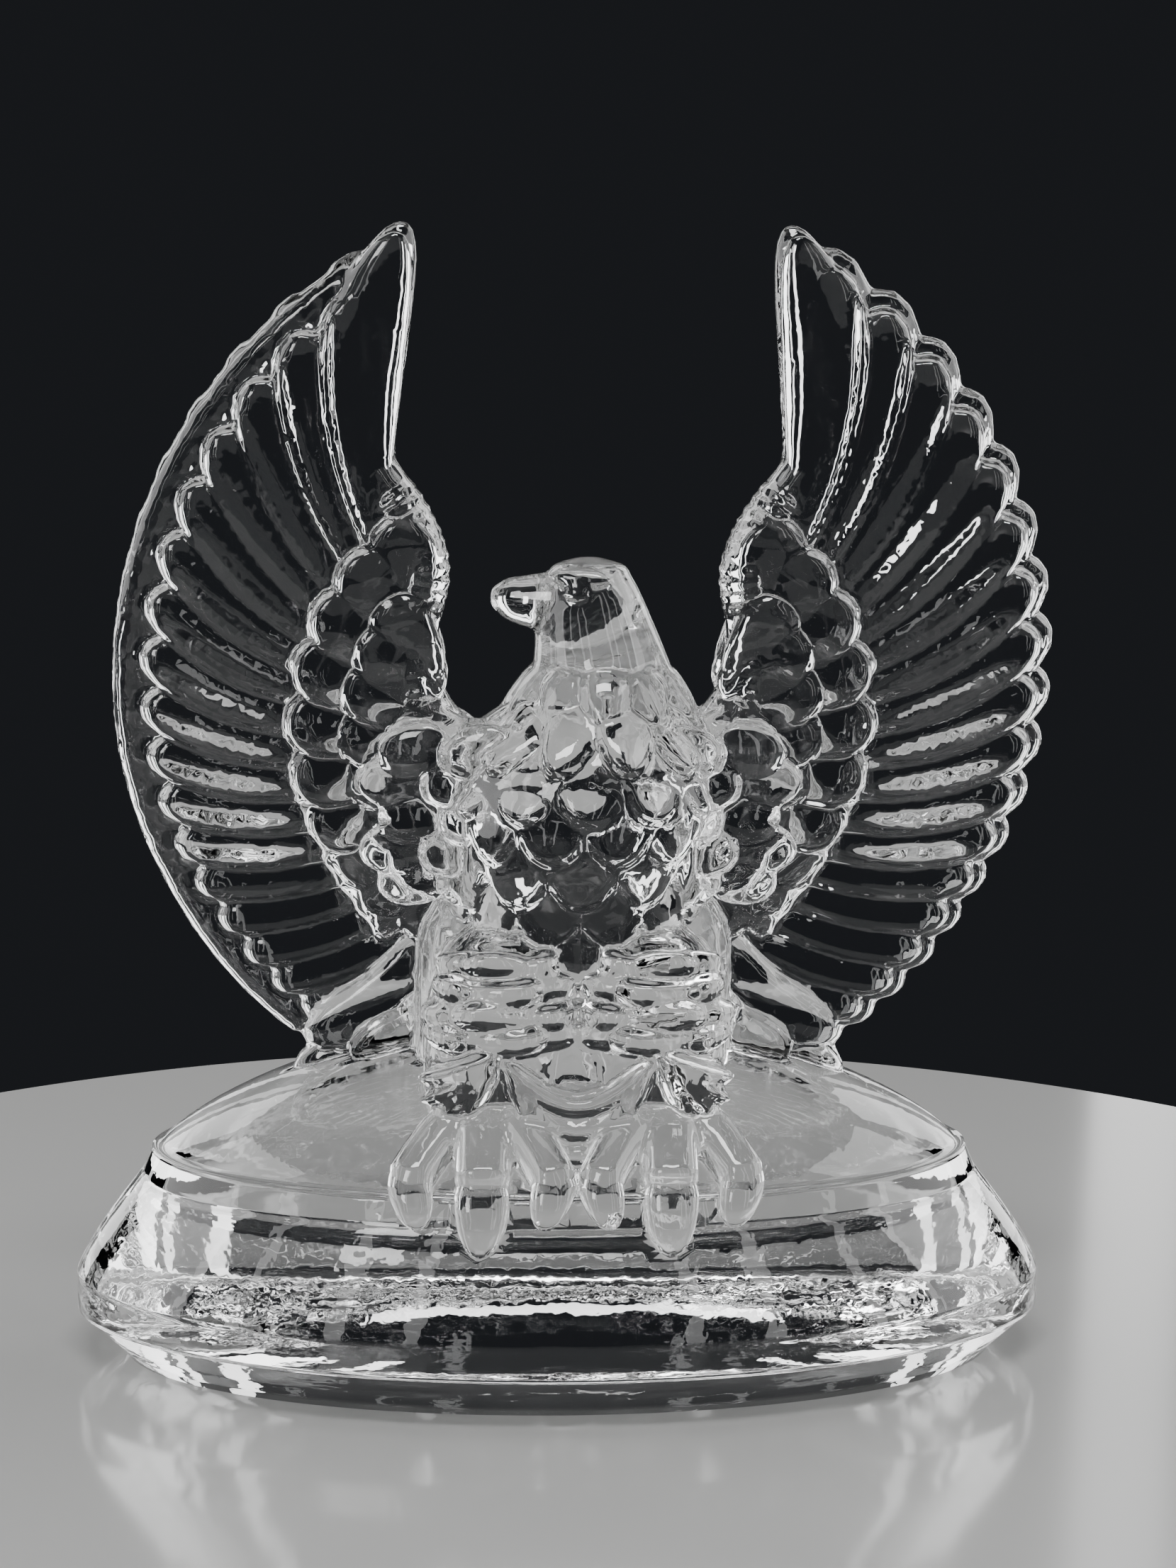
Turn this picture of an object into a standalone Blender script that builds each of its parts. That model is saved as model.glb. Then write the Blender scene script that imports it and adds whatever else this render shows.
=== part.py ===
"""Pressed clear-glass eagle with raised wings on an oval plinth, moulded as one solid piece.

The viewer stands at -Y and looks along +Y. Every size below is in millimetres.
"""

import math

import bmesh
import bpy
import numpy as np

MM = 0.001

# Plinth: oval rings from the ground up, and the mound that the bird stands on
BASE_WIDTH = 128.0
BASE_DEPTH = 67.0
GIRTH_TOP = 10.8
GIRTH_BOTTOM = 6.4
FOOT_INSET = 6.2
CHAMFER_INSET = 5.1
CHAMFER_HEIGHT = 1.5
SHOULDER_INSET_X = 8.9
SHOULDER_INSET_Y = 3.4
SHOULDER_HEIGHT = 24.3
SHOULDER_ROUNDNESS = 1.25
RIM_INSET = 1.2
RIM_HEIGHT = 27.6
MOUND_RISE = 16.2
MOUND_ROUNDNESS = 0.8
EDGE_ROUND = 0.5
BASE_SIDES = 52
SHOULDER_STEPS = 4
MOUND_STEPS = 7

# Whole figure: wing tips above the ground, the bird's centre line beside the plinth's, and its
# sideways lean in degrees
FIGURE_HEIGHT = 145.0
BIRD_X = 0.9
BIRD_TILT = 1.1

# The bird is drawn for this height and this rim, then scaled to the sizes above
DRAWN_HEIGHT = 145.25
DRAWN_RIM = 27.6

# Wing outline: two arcs that meet where the wing is widest
WING_REACH = 59.2
WING_WIDEST_Z = 88.0
WING_UPPER_RADIUS = 62.5
WING_LOWER_RADIUS = 58.0
WING_TIP_ANGLE = 65.3
WING_END_ANGLE = -55.0
WING_LEAN_FROM_Z = 62.0
WING_LEAN = 0.27
WING_SWEEP = 0.12
WING_RIM_BAND = {1: 2.4, -1: 5.4}
BEAD_INSET = {1: 0.0, -1: 0.9}
BEAD_RADIUS = 2.1
BEAD_HALF_DEPTH = 2.4
BEAD_FROM = 0.03
BEAD_TO = 0.98
BEAD_STEPS = 24
WING_Y = 2.0
ARM_LIFT = 0.6

FLIGHT_FEATHERS = 18
FEATHER_NARROWING = 0.6
FEATHER_BEND = 0.2
FEATHER_TILT = 8.0
FEATHER_OVERLAP = 1.2
FRONT_BLADE_SHARE = 0.82
BACK_BLADE_LIFT = -1.3
BACK_BLADE_THICKNESS = 5.6
FRONT_BLADE_LIFT = 1.8
FRONT_BLADE_THICKNESS = 5.8
TIP_BLADE_WIDTH = 10.4
TIP_BLADE_SHORTER = 0.03
COVERT_LENGTH = 12.5
COVERT_WIDTH = 8.6
COVERT_THICKNESS = 3.4
COVERT_SQUARENESS = 3.0
COVERT_RISE = 1.6
COVERT_BED = [(20.0, 55.0), (41.0, 82.0), (23.0, 111.0)]
COVERT_BED_WIDTH = 15.0
COVERT_BED_THICKNESS = 10.0
COVERT_CENTRE = (12.0, 84.0)
COVERT_SOURCE = (22.0, 83.0, 15.0)
COVERT_FRONT_LIFT = 1.3
COVERT_REACH = (25.0, 29.0)

# Rows of coverts: share of the reach, first and last angle, lift of the tips off the wing
COVERT_ROWS = [(1.0, 64.0, -76.0, 4.4), (0.74, 50.0, -72.0, 5.2), (0.46, 6.0, -62.0, 5.8)]
COVERT_COUNTS = (10, 8, 5)

BODY_HALF_WIDTH = 19.0
LEG_X = 9.6
LEG_Y = -13.0
LEG_Z = 45.5
LEG_HALF_WIDTH = 9.2
LEG_FLARE = 1.0
LEG_HALF_DEPTH = 11.5
LEG_HALF_HEIGHT = 13.6
LEG_SQUARENESS = 2.7
LEG_ROUNDNESS = 0.66
BELLY_WIDTH = 17.0
BELLY_THICKNESS = 20.4
BELLY_TOP = 52.6
# Smooth column between each leg and the wing: x, y, heights of both ends, width, thickness
FLANK = (15.6, -5.5, 30.0, 62.0, 9.6, 14.0)
FOOT_X = 11.5
HEAD_Y = -9.5

# Inner ends of the flight feathers, and the middle line of the tip feather, as (x, z)
FEATHER_ROOTS = [(22.0, 104.0), (34.0, 102.0), (36.0, 72.0), (15.0, 50.0)]
TIP_FEATHER = [(25.5, 100.0), (33.0, 123.0)]

# Inner part of a wing, from the ground up and out: path as (x, z), lift, width, thickness
WING_ROOT = [
    ([(15.0, 36.0), (19.0, 62.0), (19.0, 86.0)], 0.2, 17.0, 8.5),
    ([(27.0, 37.5), (26.0, 62.0), (24.0, 90.0)], 0.2, 17.0, 7.5),
    ([(17.0, 62.0), (21.0, 47.0), (35.0, 42.5)], 3.2, 7.0, 6.0),
    ([(15.0, 54.0), (17.0, 43.0), (29.0, 40.5)], 5.0, 7.0, 6.0),
    ([(12.0, 38.5), (24.0, 39.5), (36.5, 36.5)], 0.0, 9.0, 8.0),
]

# Leading edge of a wing: share of its length, x, z, half width, half depth
ARM = [
    (0.0, 12.5, 77.0, 5.5, 8.5),
    (0.15, 18.2, 82.5, 4.0, 7.6),
    (0.32, 21.2, 89.5, 3.2, 6.6),
    (0.48, 21.3, 96.5, 3.0, 6.0),
    (0.64, 20.0, 103.8, 3.0, 6.0),
    (0.78, 22.1, 110.0, 2.8, 5.0),
    (0.9, 25.8, 115.5, 2.7, 4.2),
    (1.0, 28.5, 121.5, 1.8, 2.8),
]

# Body, neck and head: height, centre x, half width, front y, back y
TORSO = [
    (30.0, 0.0, 17.5, -16.0, 16.0),
    (45.0, 0.0, 17.5, -16.0, 15.5),
    (57.0, 0.0, 15.2, -18.0, 14.0),
    (66.0, 0.0, 15.8, -22.5, 13.0),
    (76.0, 0.3, 17.4, -24.5, 12.0),
    (80.0, 0.8, 17.6, -23.2, 11.0),
    (83.0, 1.8, 13.8, -20.8, 8.8),
    (86.0, 2.6, 10.8, -18.8, 6.2),
    (90.0, 2.7, 9.3, -17.6, 3.5),
    (93.5, 2.2, 8.3, -16.8, 1.0),
    (97.0, 1.4, 7.5, -16.3, -0.8),
    (100.4, 0.9, 6.4, -15.8, -2.0),
    (103.0, 0.6, 5.2, -14.8, -3.6),
    (104.6, 0.5, 3.8, -13.6, -5.0),
    (105.3, 0.4, 1.2, -11.0, -8.0),
]

# Shoulders: soft beds from the chest out over each wing, as x, y, z of both ends, width and
# thickness, and the rows of short feathers on them
SHOULDER_BEDS = [
    ((6.0, -11.5, 77.0), (25.0, -6.0, 77.5), 15.5, 12.0),
    ((7.0, -9.5, 68.5), (24.0, -4.5, 69.0), 14.0, 11.0),
]
SHOULDER_ROWS = (81.5, 77.3, 73.0, 68.7, 64.5)
SHOULDER_COLUMNS = (8.5, 16.5)
SHOULDER_STEP = 2.4
SHOULDER_Y = -18.2
SHOULDER_SLOPE = 0.34
SHOULDER_RECESS = 0.15
SHOULDER_FEATHER = (9.0, 6.6, 3.0)

# Beak: share of its length, x, z, half height, half depth
BEAK = [
    (0.0, -2.0, 99.6, 4.0, 4.8),
    (0.3, -5.4, 99.7, 3.6, 3.9),
    (0.6, -8.2, 99.8, 3.1, 3.0),
    (0.85, -10.4, 100.1, 2.3, 2.2),
    (1.0, -11.8, 100.2, 1.0, 1.0),
]

# Chest feathers: height of a row and feather length; the counts are for the whole ring
BREAST_ROWS = [(88.0, 6.5), (83.0, 8.0), (77.5, 9.0), (72.0, 9.0), (66.5, 9.0), (61.0, 8.5)]
BREAST_COUNTS = (11, 13, 13, 13, 12, 12)
BREAST_SINK = 1.3
BREAST_LIFT = 0.9
BREAST_THICKNESS = 2.8
BREAST_OVERLAP = 1.15

# Brow ridge and eye on each side of the head: back x and z, front x and z, width, thickness
BROW = (3.0, 102.6, -4.9, 103.0, 2.4, 2.2)
EYE = (0.4, 100.9, -3.0, 101.0, 1.9, 2.0)
FACE_HALF_DEPTH = 5.2
BROW_TAPER = 1.6
EYE_TAPER = 0.6

# Heights of the short overlapping feathers across the upper leg, and where each starts and ends
# in quarter turns round the leg
LEG_RIDGES = (55.6, 52.6, 49.6, 46.8)
RIDGE_SPANS = ((-0.82, -0.2), (-0.35, 0.35), (0.2, 0.82))
RIDGE_LEAF = (3.8, 2.7)
RIDGE_LIFT = 1.6
RIDGE_WAVE = 0.8

# Locks that fan out from the front of a leg: sideways end in quarter turns, its height
LOCK_TOP = 45.0
LOCKS = [(0.72, 41.2), (0.7, 38.3), (0.66, 35.4), (0.56, 32.6)]
LOCK_LEAF = (2.4, 3.4)
LOCK_LIFT = 2.2

# Swags that hang from one leg to the other: lowest height of each, and how far forward they lie
SWAGS = (38.4, 35.4, 32.4)
SWAG_X = 9.4
SWAG_Y = -24.6
SWAG_LEAF = (2.3, 3.4)

# Toes: sideways place of knuckle and claw tip beside the foot, their heights, half width
TOES = [
    (-9.4, -7.2, 30.6, 25.0, 2.5),
    (0.0, 0.2, 30.4, 21.4, 3.1),
    (9.6, 7.4, 30.4, 24.6, 2.5),
]
ANKLE_Y = -21.0
ANKLE_Z = 37.0
TOE_THICKNESS = 5.8
TOE_ARCH = 3.4
CLAW_THICKNESS = 4.6
CLAW_BEND = 2.2
CLAW_OUT = 1.7

# Tail fan: feathers on each side of the middle one, sideways step with y and z of both ends,
# and how far the outer ones fall back
TAIL_SIDE_FEATHERS = 2
TAIL_ROOT = (3.4, 9.0, 68.0)
TAIL_TIP = (7.4, 22.5, 30.5)
TAIL_ROUNDING = 1.2
TAIL_LEAF = (10.5, 8.0)

# How far under the plinth's skin its copy in the bird's mesh lies
HIDDEN_INSET = 0.2

# Mesh fineness of the carved bird
VOXEL = 0.7
BIRD_TRIANGLES = 8000


def smoothstep(t):
    """0 below 0, 1 above 1, and a soft ramp between."""
    t = min(1.0, max(0.0, t))
    return t * t * (3.0 - 2.0 * t)


def unit(v):
    """v at length one."""
    return v / np.linalg.norm(v)


def bezier(points, t):
    """Point of a Bezier curve with any number of control points."""
    points = np.array(points, float)
    while len(points) > 1:
        points = points[:-1] + (points[1:] - points[:-1]) * t
    return points[0]


def through(stations, t):
    """Row of smoothly blended values at t, from rows whose first number is the place."""
    rows = np.array(stations, float)
    places = rows[:, 0]
    slopes = np.gradient(rows[:, 1:], places, axis=0)
    t = min(max(t, places[0]), places[-1])
    i = min(int(np.searchsorted(places, t, side="right")) - 1, len(places) - 2)
    h = places[i + 1] - places[i]
    u = (t - places[i]) / h
    start, end = rows[i, 1:], rows[i + 1, 1:]
    return (
        (2 * u**3 - 3 * u**2 + 1) * start
        + (u**3 - 2 * u**2 + u) * h * slopes[i]
        + (3 * u**2 - 2 * u**3) * end
        + (u**3 - u**2) * h * slopes[i + 1]
    )


def oval(centre, across, depth, sides, power=2.0):
    """Ring of points round centre; across and depth are its half axes as vectors."""
    ring = []
    for k in range(sides):
        a = 2.0 * math.pi * k / sides
        c, s = math.cos(a), math.sin(a)
        u = math.copysign(abs(c) ** (2.0 / power), c)
        v = math.copysign(abs(s) ** (2.0 / power), s)
        ring.append(centre + u * across + v * depth)
    return ring


def loft(bm, rings):
    """Closed skin over rings of equal count, shut with a fan at each end, faces out."""
    rows = [[bm.verts.new(p) for p in ring] for ring in rings]
    faces = []
    sides = len(rows[0])
    for low, high in zip(rows, rows[1:]):
        for k in range(sides):
            n = (k + 1) % sides
            faces.append(bm.faces.new((low[k], low[n], high[n], high[k])))
    for row, turned in ((rows[0], True), (rows[-1], False)):
        middle = bm.verts.new(sum((v.co for v in row), row[0].co * 0) / sides)
        for k in range(sides):
            n = (k + 1) % sides
            corners = (middle, row[n], row[k]) if turned else (middle, row[k], row[n])
            faces.append(bm.faces.new(corners))
    bmesh.ops.recalc_face_normals(bm, faces=faces)


def petal(bm, root, tip, normal, width, thickness, steps=6, sides=8, control=None, blunt=0.5, power=2.4):
    """Rounded closed leaf from root to tip; normal is the way that its broad face looks."""
    root, tip, normal = np.array(root, float), np.array(tip, float), unit(np.array(normal, float))
    if control is None:
        control = (root + tip) / 2
    rings = []
    for i in range(steps + 1):
        t = 0.5 - 0.5 * math.cos(math.pi * (0.04 + 0.92 * i / steps))
        middle = bezier([root, control, tip], t)
        ahead = bezier([root, control, tip], min(1.0, t + 0.01))
        behind = bezier([root, control, tip], max(0.0, t - 0.01))
        along = unit(ahead - behind)
        side = unit(np.cross(along, normal))
        up = unit(np.cross(side, along))
        share = round_ends(t, 0.35, blunt)
        rings.append(oval(middle, side * width / 2 * share, up * thickness / 2 * share**0.7, sides, power))
    loft(bm, rings)


def round_ends(t, start, end):
    """Share of full width along a leaf: an elliptic ramp over start, and one over end."""
    low = math.sqrt(max(0.0, 1.0 - (1.0 - min(1.0, t / start)) ** 2))
    high = math.sqrt(max(0.0, 1.0 - (1.0 - min(1.0, (1.0 - t) / end)) ** 2))
    return max(0.02, low * high)


def wing_point(side, x, z, lift=0.0):
    """Point in a wing's curved middle sheet; lift moves it towards the viewer."""
    lean = WING_LEAN * max(0.0, z - WING_LEAN_FROM_Z)
    sweep = WING_SWEEP * max(0.0, x - BODY_HALF_WIDTH)
    return np.array([BIRD_X + side * x, WING_Y - lean - sweep - lift, z])


def outline_length():
    """Length of the wing outline from the tip to the foot of the wing."""
    upper = WING_UPPER_RADIUS * math.radians(WING_TIP_ANGLE)
    return upper + WING_LOWER_RADIUS * math.radians(-WING_END_ANGLE)


def wing_edge(share):
    """Point (x, z) of the wing outline, from the tip at share 0 to the foot of the wing at 1."""
    run = WING_UPPER_RADIUS * math.radians(WING_TIP_ANGLE) - share * outline_length()
    radius = WING_UPPER_RADIUS if run > 0.0 else WING_LOWER_RADIUS
    angle = run / radius
    return np.array(
        [WING_REACH - radius + radius * math.cos(angle), WING_WIDEST_Z + radius * math.sin(angle)]
    )


def blade(bm, side, path, lift, width, thick, start=0.02, reach=1.0, blunt=0.2, tilt=0.0, steps=9):
    """Long leaf in the wing sheet along a Bezier path of (x, z) points."""
    rings = []
    for i in range(steps + 1):
        t = start + (reach - start) * math.sin(math.pi / 2 * (0.02 + 0.975 * i / steps))
        p = bezier(path, t)
        q = bezier(path, t + 0.01)
        here = wing_point(side, p[0], p[1], lift)
        along = unit(wing_point(side, q[0], q[1], lift) - here)
        across = unit(np.cross(along, np.array([0.0, -1.0, 0.0])))
        up = unit(np.cross(across, along))
        across, up = (
            across * math.cos(tilt) + up * math.sin(tilt),
            up * math.cos(tilt) - across * math.sin(tilt),
        )
        share = t / reach
        end = round_ends(share, 0.05, blunt)
        wide = width / 2 * (0.6 + 0.4 * smoothstep(share / 0.6)) * end
        deep = thick / 2 * (1.0 - 0.22 * share) * end**0.6
        rings.append(oval(here, across * wide, up * deep, 10, 2.5))
    loft(bm, rings)


def flight_feathers(bm, side):
    """Fan of long feathers: full blades behind, and shorter ones in front inside a rim band."""
    widths = np.linspace(1.0, FEATHER_NARROWING, FLIGHT_FEATHERS)
    widths = widths / widths.sum()
    places = np.cumsum(widths) - widths / 2
    tilt = math.radians(FEATHER_TILT) * side
    band = WING_RIM_BAND[side]
    for place, share in zip(places, widths):
        tip = wing_edge(place)
        root = bezier(FEATHER_ROOTS, place**0.9)
        chord = tip - root
        length = np.linalg.norm(chord)
        outward = np.array([chord[1], -chord[0]]) * FEATHER_BEND
        path = [root, (root + tip) / 2 + outward * (1.0 - 0.3 * place), tip]
        width = share * outline_length() * FEATHER_OVERLAP
        blunt = width * 0.6 / length
        back = 1.0 - BEAD_INSET[side] / length
        leaf = (BACK_BLADE_LIFT, width, BACK_BLADE_THICKNESS)
        blade(bm, side, path, *leaf, reach=back, blunt=blunt, tilt=tilt)
        front = 1.0 - band / length
        leaf = (FRONT_BLADE_LIFT, width * FRONT_BLADE_SHARE, FRONT_BLADE_THICKNESS)
        blade(bm, side, path, *leaf, reach=front, blunt=blunt, tilt=tilt)
    tip_path = TIP_FEATHER + [tuple(wing_edge(0.0) + (0.0, 0.6))]
    for lift, front in ((BACK_BLADE_LIFT, 1.0), (FRONT_BLADE_LIFT, 1.0 - TIP_BLADE_SHORTER)):
        leaf = (lift, TIP_BLADE_WIDTH, FRONT_BLADE_THICKNESS)
        blade(bm, side, tip_path, *leaf, reach=front, blunt=0.42, steps=12)


def rim_bead(bm, side):
    """Smooth bead that closes the outer edge of the wing with the wide band."""
    rings = []
    for i in range(BEAD_STEPS + 1):
        share = BEAD_FROM + (BEAD_TO - BEAD_FROM) * i / BEAD_STEPS
        x, z = wing_edge(share)
        ahead = wing_edge(share + 0.01) - wing_edge(share - 0.01)
        outward = unit(np.array([-side * ahead[1], 0.0, ahead[0]]))
        centre = wing_point(side, x, z, BACK_BLADE_LIFT) - outward * BEAD_RADIUS
        rings.append(oval(centre, outward * BEAD_RADIUS, np.array([0.0, BEAD_HALF_DEPTH, 0.0]), 8))
    loft(bm, rings)


def wing_root(bm, side):
    """Inner vane that ties the wing to the body and to the mound."""
    for path, lift, width, thick in WING_ROOT:
        blade(bm, side, path, lift, width, thick, blunt=0.25)


def covert_edge(angle, scale):
    """Point (x, z) on the oval where a row of coverts ends."""
    a = math.radians(angle)
    return np.array(COVERT_CENTRE) + scale * np.array(
        [COVERT_REACH[0] * math.cos(a), COVERT_REACH[1] * math.sin(a)]
    )


def coverts(bm, side, face_side):
    """Rows of rounded small feathers on a bed that hides the roots of the flight feathers."""
    front_extra = COVERT_FRONT_LIFT if face_side > 0 else 0.0
    bed_lift = front_extra * face_side
    blade(bm, side, COVERT_BED, bed_lift, COVERT_BED_WIDTH, COVERT_BED_THICKNESS, blunt=0.3)
    for count, (scale, first, last, lift) in zip(COVERT_COUNTS, COVERT_ROWS):
        for k in range(count):
            angle = first + (last - first) * k / (count - 1)
            tip = covert_edge(angle, scale)
            x, z, spread = COVERT_SOURCE
            source = np.array([x, z + spread * math.sin(math.radians(angle))])
            root = tip + unit(source - tip) * COVERT_LENGTH
            high = lift + front_extra
            start = wing_point(side, root[0], root[1], (high - COVERT_RISE) * face_side)
            end = wing_point(side, tip[0], tip[1], high * face_side)
            leaf = (COVERT_WIDTH * (0.8 + 0.2 * scale), COVERT_THICKNESS)
            petal(bm, start, end, (0, -face_side, 0), *leaf, blunt=0.34, power=COVERT_SQUARENESS)


def shoulder_point(side, x, z, lift):
    """Point on the slope from the chest to the wing; it falls back below the upper row."""
    back = SHOULDER_SLOPE * (x - SHOULDER_COLUMNS[0]) + SHOULDER_RECESS * (SHOULDER_ROWS[0] - z)
    return np.array([BIRD_X + side * x, SHOULDER_Y + back - lift, z])


def shoulder(bm, side):
    """Chest carried over into the wing, with short feathers that point outwards."""
    for (x1, y1, z1), (x2, y2, z2), width, thick in SHOULDER_BEDS:
        start = (BIRD_X + side * x1, y1, z1)
        end = (BIRD_X + side * x2, y2, z2)
        petal(bm, start, end, (side * 0.3, -1, 0), width, thick, blunt=0.35)
    length, width, thick = SHOULDER_FEATHER
    for row, z in enumerate(SHOULDER_ROWS):
        for x in SHOULDER_COLUMNS:
            x += SHOULDER_STEP * (row % 2)
            start = shoulder_point(side, x, z + 0.8, -1.0)
            end = shoulder_point(side, x + length, z - 0.8, 0.8)
            petal(bm, start, end, (side * 0.3, -1, 0), width, thick, blunt=0.5, power=2.6)


def arm(bm, side):
    """Thick leading edge of the wing, from the shoulder over the wrist to the hand."""
    rings = []
    for i in range(19):
        x, z, wide, deep = through(ARM, i / 18)
        ahead = through(ARM, i / 18 + 0.02)[:2] - through(ARM, i / 18 - 0.02)[:2]
        across = unit(np.array([side * ahead[1], 0.0, -ahead[0]]))
        centre = wing_point(side, x, z, ARM_LIFT)
        rings.append(oval(centre, across * wide, np.array([0.0, deep, 0.0]), 12))
    loft(bm, rings)


def torso_point(angle, z, lift=0.0):
    """Point on the body at this height; angle 0 faces the viewer and grows to the right."""
    centre, half, front, back = through(TORSO, z)
    a = math.radians(angle)
    depth = front if math.cos(a) > 0 else back
    middle = (front + back) / 2
    reach = abs(depth - middle) + lift
    return np.array(
        [BIRD_X + centre + (half + lift) * math.sin(a), middle - reach * math.cos(a), z]
    )


def torso(bm):
    """Body, neck and head as one skin."""
    rings = []
    low, high = TORSO[0][0], TORSO[-1][0]
    for i in range(41):
        z = low + (high - low) * math.sin(math.pi / 2 * i / 40)
        rings.append([torso_point(360.0 * k / 24, z) for k in range(24)])
    loft(bm, rings)


def make_object(name, bm):
    """Object from a bmesh that was drawn in millimetres."""
    mesh = bpy.data.meshes.new(name)
    bmesh.ops.scale(bm, vec=(MM, MM, MM), verts=bm.verts)
    bm.to_mesh(mesh)
    bm.free()
    obj = bpy.data.objects.new(name, mesh)
    bpy.context.scene.collection.objects.link(obj)
    return obj


def breast(bm):
    """Overlapping pointed feathers round the chest and the back of the body."""
    for row, (count, (z, length)) in enumerate(zip(BREAST_COUNTS, BREAST_ROWS)):
        for k in range(count):
            angle = 360.0 * (k + 0.5 * (row % 2)) / count
            top = torso_point(angle, z + length * 0.55, -BREAST_SINK)
            low = torso_point(angle, z - length * 0.45, BREAST_LIFT)
            out = torso_point(angle, z, 5.0) - torso_point(angle, z, 0.0)
            half = through(TORSO, z)[1]
            width = 2.0 * math.pi * half / count * BREAST_OVERLAP
            petal(bm, top, low, out, width, BREAST_THICKNESS, blunt=0.75, power=2.0)


def leg_point(side, u, z, lift=0.0):
    """Point on a leg's skin; u runs from -1 at its inner side over the front to 1 outside."""
    v = min(0.985, abs(z - LEG_Z) / LEG_HALF_HEIGHT)
    shrink = (1.0 - v**LEG_SQUARENESS) ** (1.0 / LEG_SQUARENESS)
    a = math.radians(90.0 * u)
    out = math.copysign(abs(math.sin(a)) ** LEG_ROUNDNESS, math.sin(a))
    front = math.copysign(abs(math.cos(a)) ** LEG_ROUNDNESS, math.cos(a))
    flare = LEG_FLARE * (LEG_Z - z) / LEG_HALF_HEIGHT
    reach = np.array([LEG_HALF_WIDTH * shrink + flare + lift, LEG_HALF_DEPTH * shrink + lift])
    return np.array([BIRD_X + side * (LEG_X + reach[0] * out), LEG_Y - reach[1] * front, z])


def belly(bm):
    """Soft mass that joins the legs, and the swags of feathers that hang between them."""
    low, high = (BIRD_X, LEG_Y, DRAWN_RIM), (BIRD_X, LEG_Y, BELLY_TOP)
    petal(bm, low, high, (0, -1, 0), BELLY_WIDTH, BELLY_THICKNESS, sides=14, blunt=0.4)
    for low in SWAGS:
        ends = [(BIRD_X + side * SWAG_X, SWAG_Y, LOCK_TOP - 0.5) for side in (-1, 1)]
        middle = (BIRD_X, SWAG_Y - 0.8, 2.0 * low - LOCK_TOP + 0.5)
        petal(bm, *ends, (0, -1, 0.2), *SWAG_LEAF, control=middle, blunt=0.3, steps=16)


def thigh(bm, side):
    """One feathered leg with short feathers above, long locks below and a smooth flank."""
    x, y, low, high, width, thick = FLANK
    ends = [(BIRD_X + side * x, y, low), (BIRD_X + side * x, y, high)]
    petal(bm, *ends, (0, -1, 0), width, thick, sides=12, blunt=0.3)
    rings = []
    for i in range(13):
        z = LEG_Z - LEG_HALF_HEIGHT * 0.985 * math.cos(math.pi * i / 12)
        rings.append([leg_point(side, 4.0 * k / 16, z) for k in range(16)])
    loft(bm, rings)
    for row, z in enumerate(LEG_RIDGES):
        for column, (first, last) in enumerate(RIDGE_SPANS):
            wave = RIDGE_WAVE * (-1) ** (row + column)
            centre = (first + last) / 2 + 0.12 * (-1) ** row
            start = leg_point(side, first, z + wave, -0.6)
            middle = leg_point(side, centre, z - 1.4 * wave, RIDGE_LIFT)
            end = leg_point(side, last, z + 0.4 * wave, -0.2)
            out = leg_point(side, centre, z, 5.0) - leg_point(side, centre, z)
            petal(bm, start, end, out, *RIDGE_LEAF, control=middle, blunt=0.5)
    for u, low in LOCKS:
        start = leg_point(side, 0.0, LOCK_TOP, 0.2)
        end = leg_point(side, u, low, 0.9)
        middle = leg_point(side, 0.3 * u, low + 0.35 * (LOCK_TOP - low), LOCK_LIFT)
        out = leg_point(side, 0.5 * u, LEG_Z, 5.0) - leg_point(side, 0.5 * u, LEG_Z)
        petal(bm, start, end, out, *LOCK_LEAF, control=middle, blunt=0.4, steps=8)


def rim_front(x):
    """Front of the plinth's rim at this x."""
    half_width = BASE_WIDTH / 2 - SHOULDER_INSET_X
    half_depth = BASE_DEPTH / 2 - SHOULDER_INSET_Y
    return -half_depth * math.sqrt(1.0 - (x / half_width) ** 2)


def foot(bm, side):
    """Three short toes that come from under the locks and grip the rim with their claws."""
    x0 = BIRD_X + side * FOOT_X
    for knuckle_x, tip_x, knuckle_z, tip_z, half in TOES:
        x1, x2 = x0 + side * knuckle_x, x0 + side * tip_x
        ankle = (x0 + side * knuckle_x * 0.25, ANKLE_Y, ANKLE_Z)
        arch = (x0 + side * knuckle_x * 0.7, rim_front(x1) + 4.0, knuckle_z + TOE_ARCH)
        knuckle = (x1, rim_front(x1) - 0.6, knuckle_z - 1.2)
        leaf = (2.2 * half, TOE_THICKNESS)
        petal(bm, ankle, knuckle, (0, -0.6, 1), *leaf, control=arch, blunt=0.12, power=2.8)
        top = (x1, rim_front(x1) + 2.2, knuckle_z + 1.2)
        bend = ((x1 + x2) / 2, rim_front(x1) - CLAW_BEND, (knuckle_z + tip_z) / 2 + 1.0)
        tip = (x2, rim_front(x2) - CLAW_OUT, tip_z)
        leaf = (2.2 * half, CLAW_THICKNESS)
        petal(bm, top, tip, (0, -1, 0.3), *leaf, control=bend, blunt=0.7, power=2.8, steps=8)


def face(bm):
    """Beak, brow ridges and eyes of a head that looks to the viewer's left."""
    rings = []
    for i in range(12):
        x, z, high, deep = through(BEAK, i / 11)
        middle = np.array([BIRD_X + x, HEAD_Y, z])
        rings.append(oval(middle, np.array([0, 0, high]), np.array([0, deep, 0]), 12, 2.2))
    loft(bm, rings)
    for face_side in (-1, 1):
        y = HEAD_Y + face_side * FACE_HALF_DEPTH
        out = (0.0, face_side, 0.5)
        for form, taper in ((BROW, BROW_TAPER), (EYE, EYE_TAPER)):
            back_x, back_z, front_x, front_z, width, thick = form
            back = (BIRD_X + back_x, y, back_z)
            front = (BIRD_X + front_x, y - face_side * taper, front_z)
            petal(bm, back, front, out, width, thick)


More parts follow.
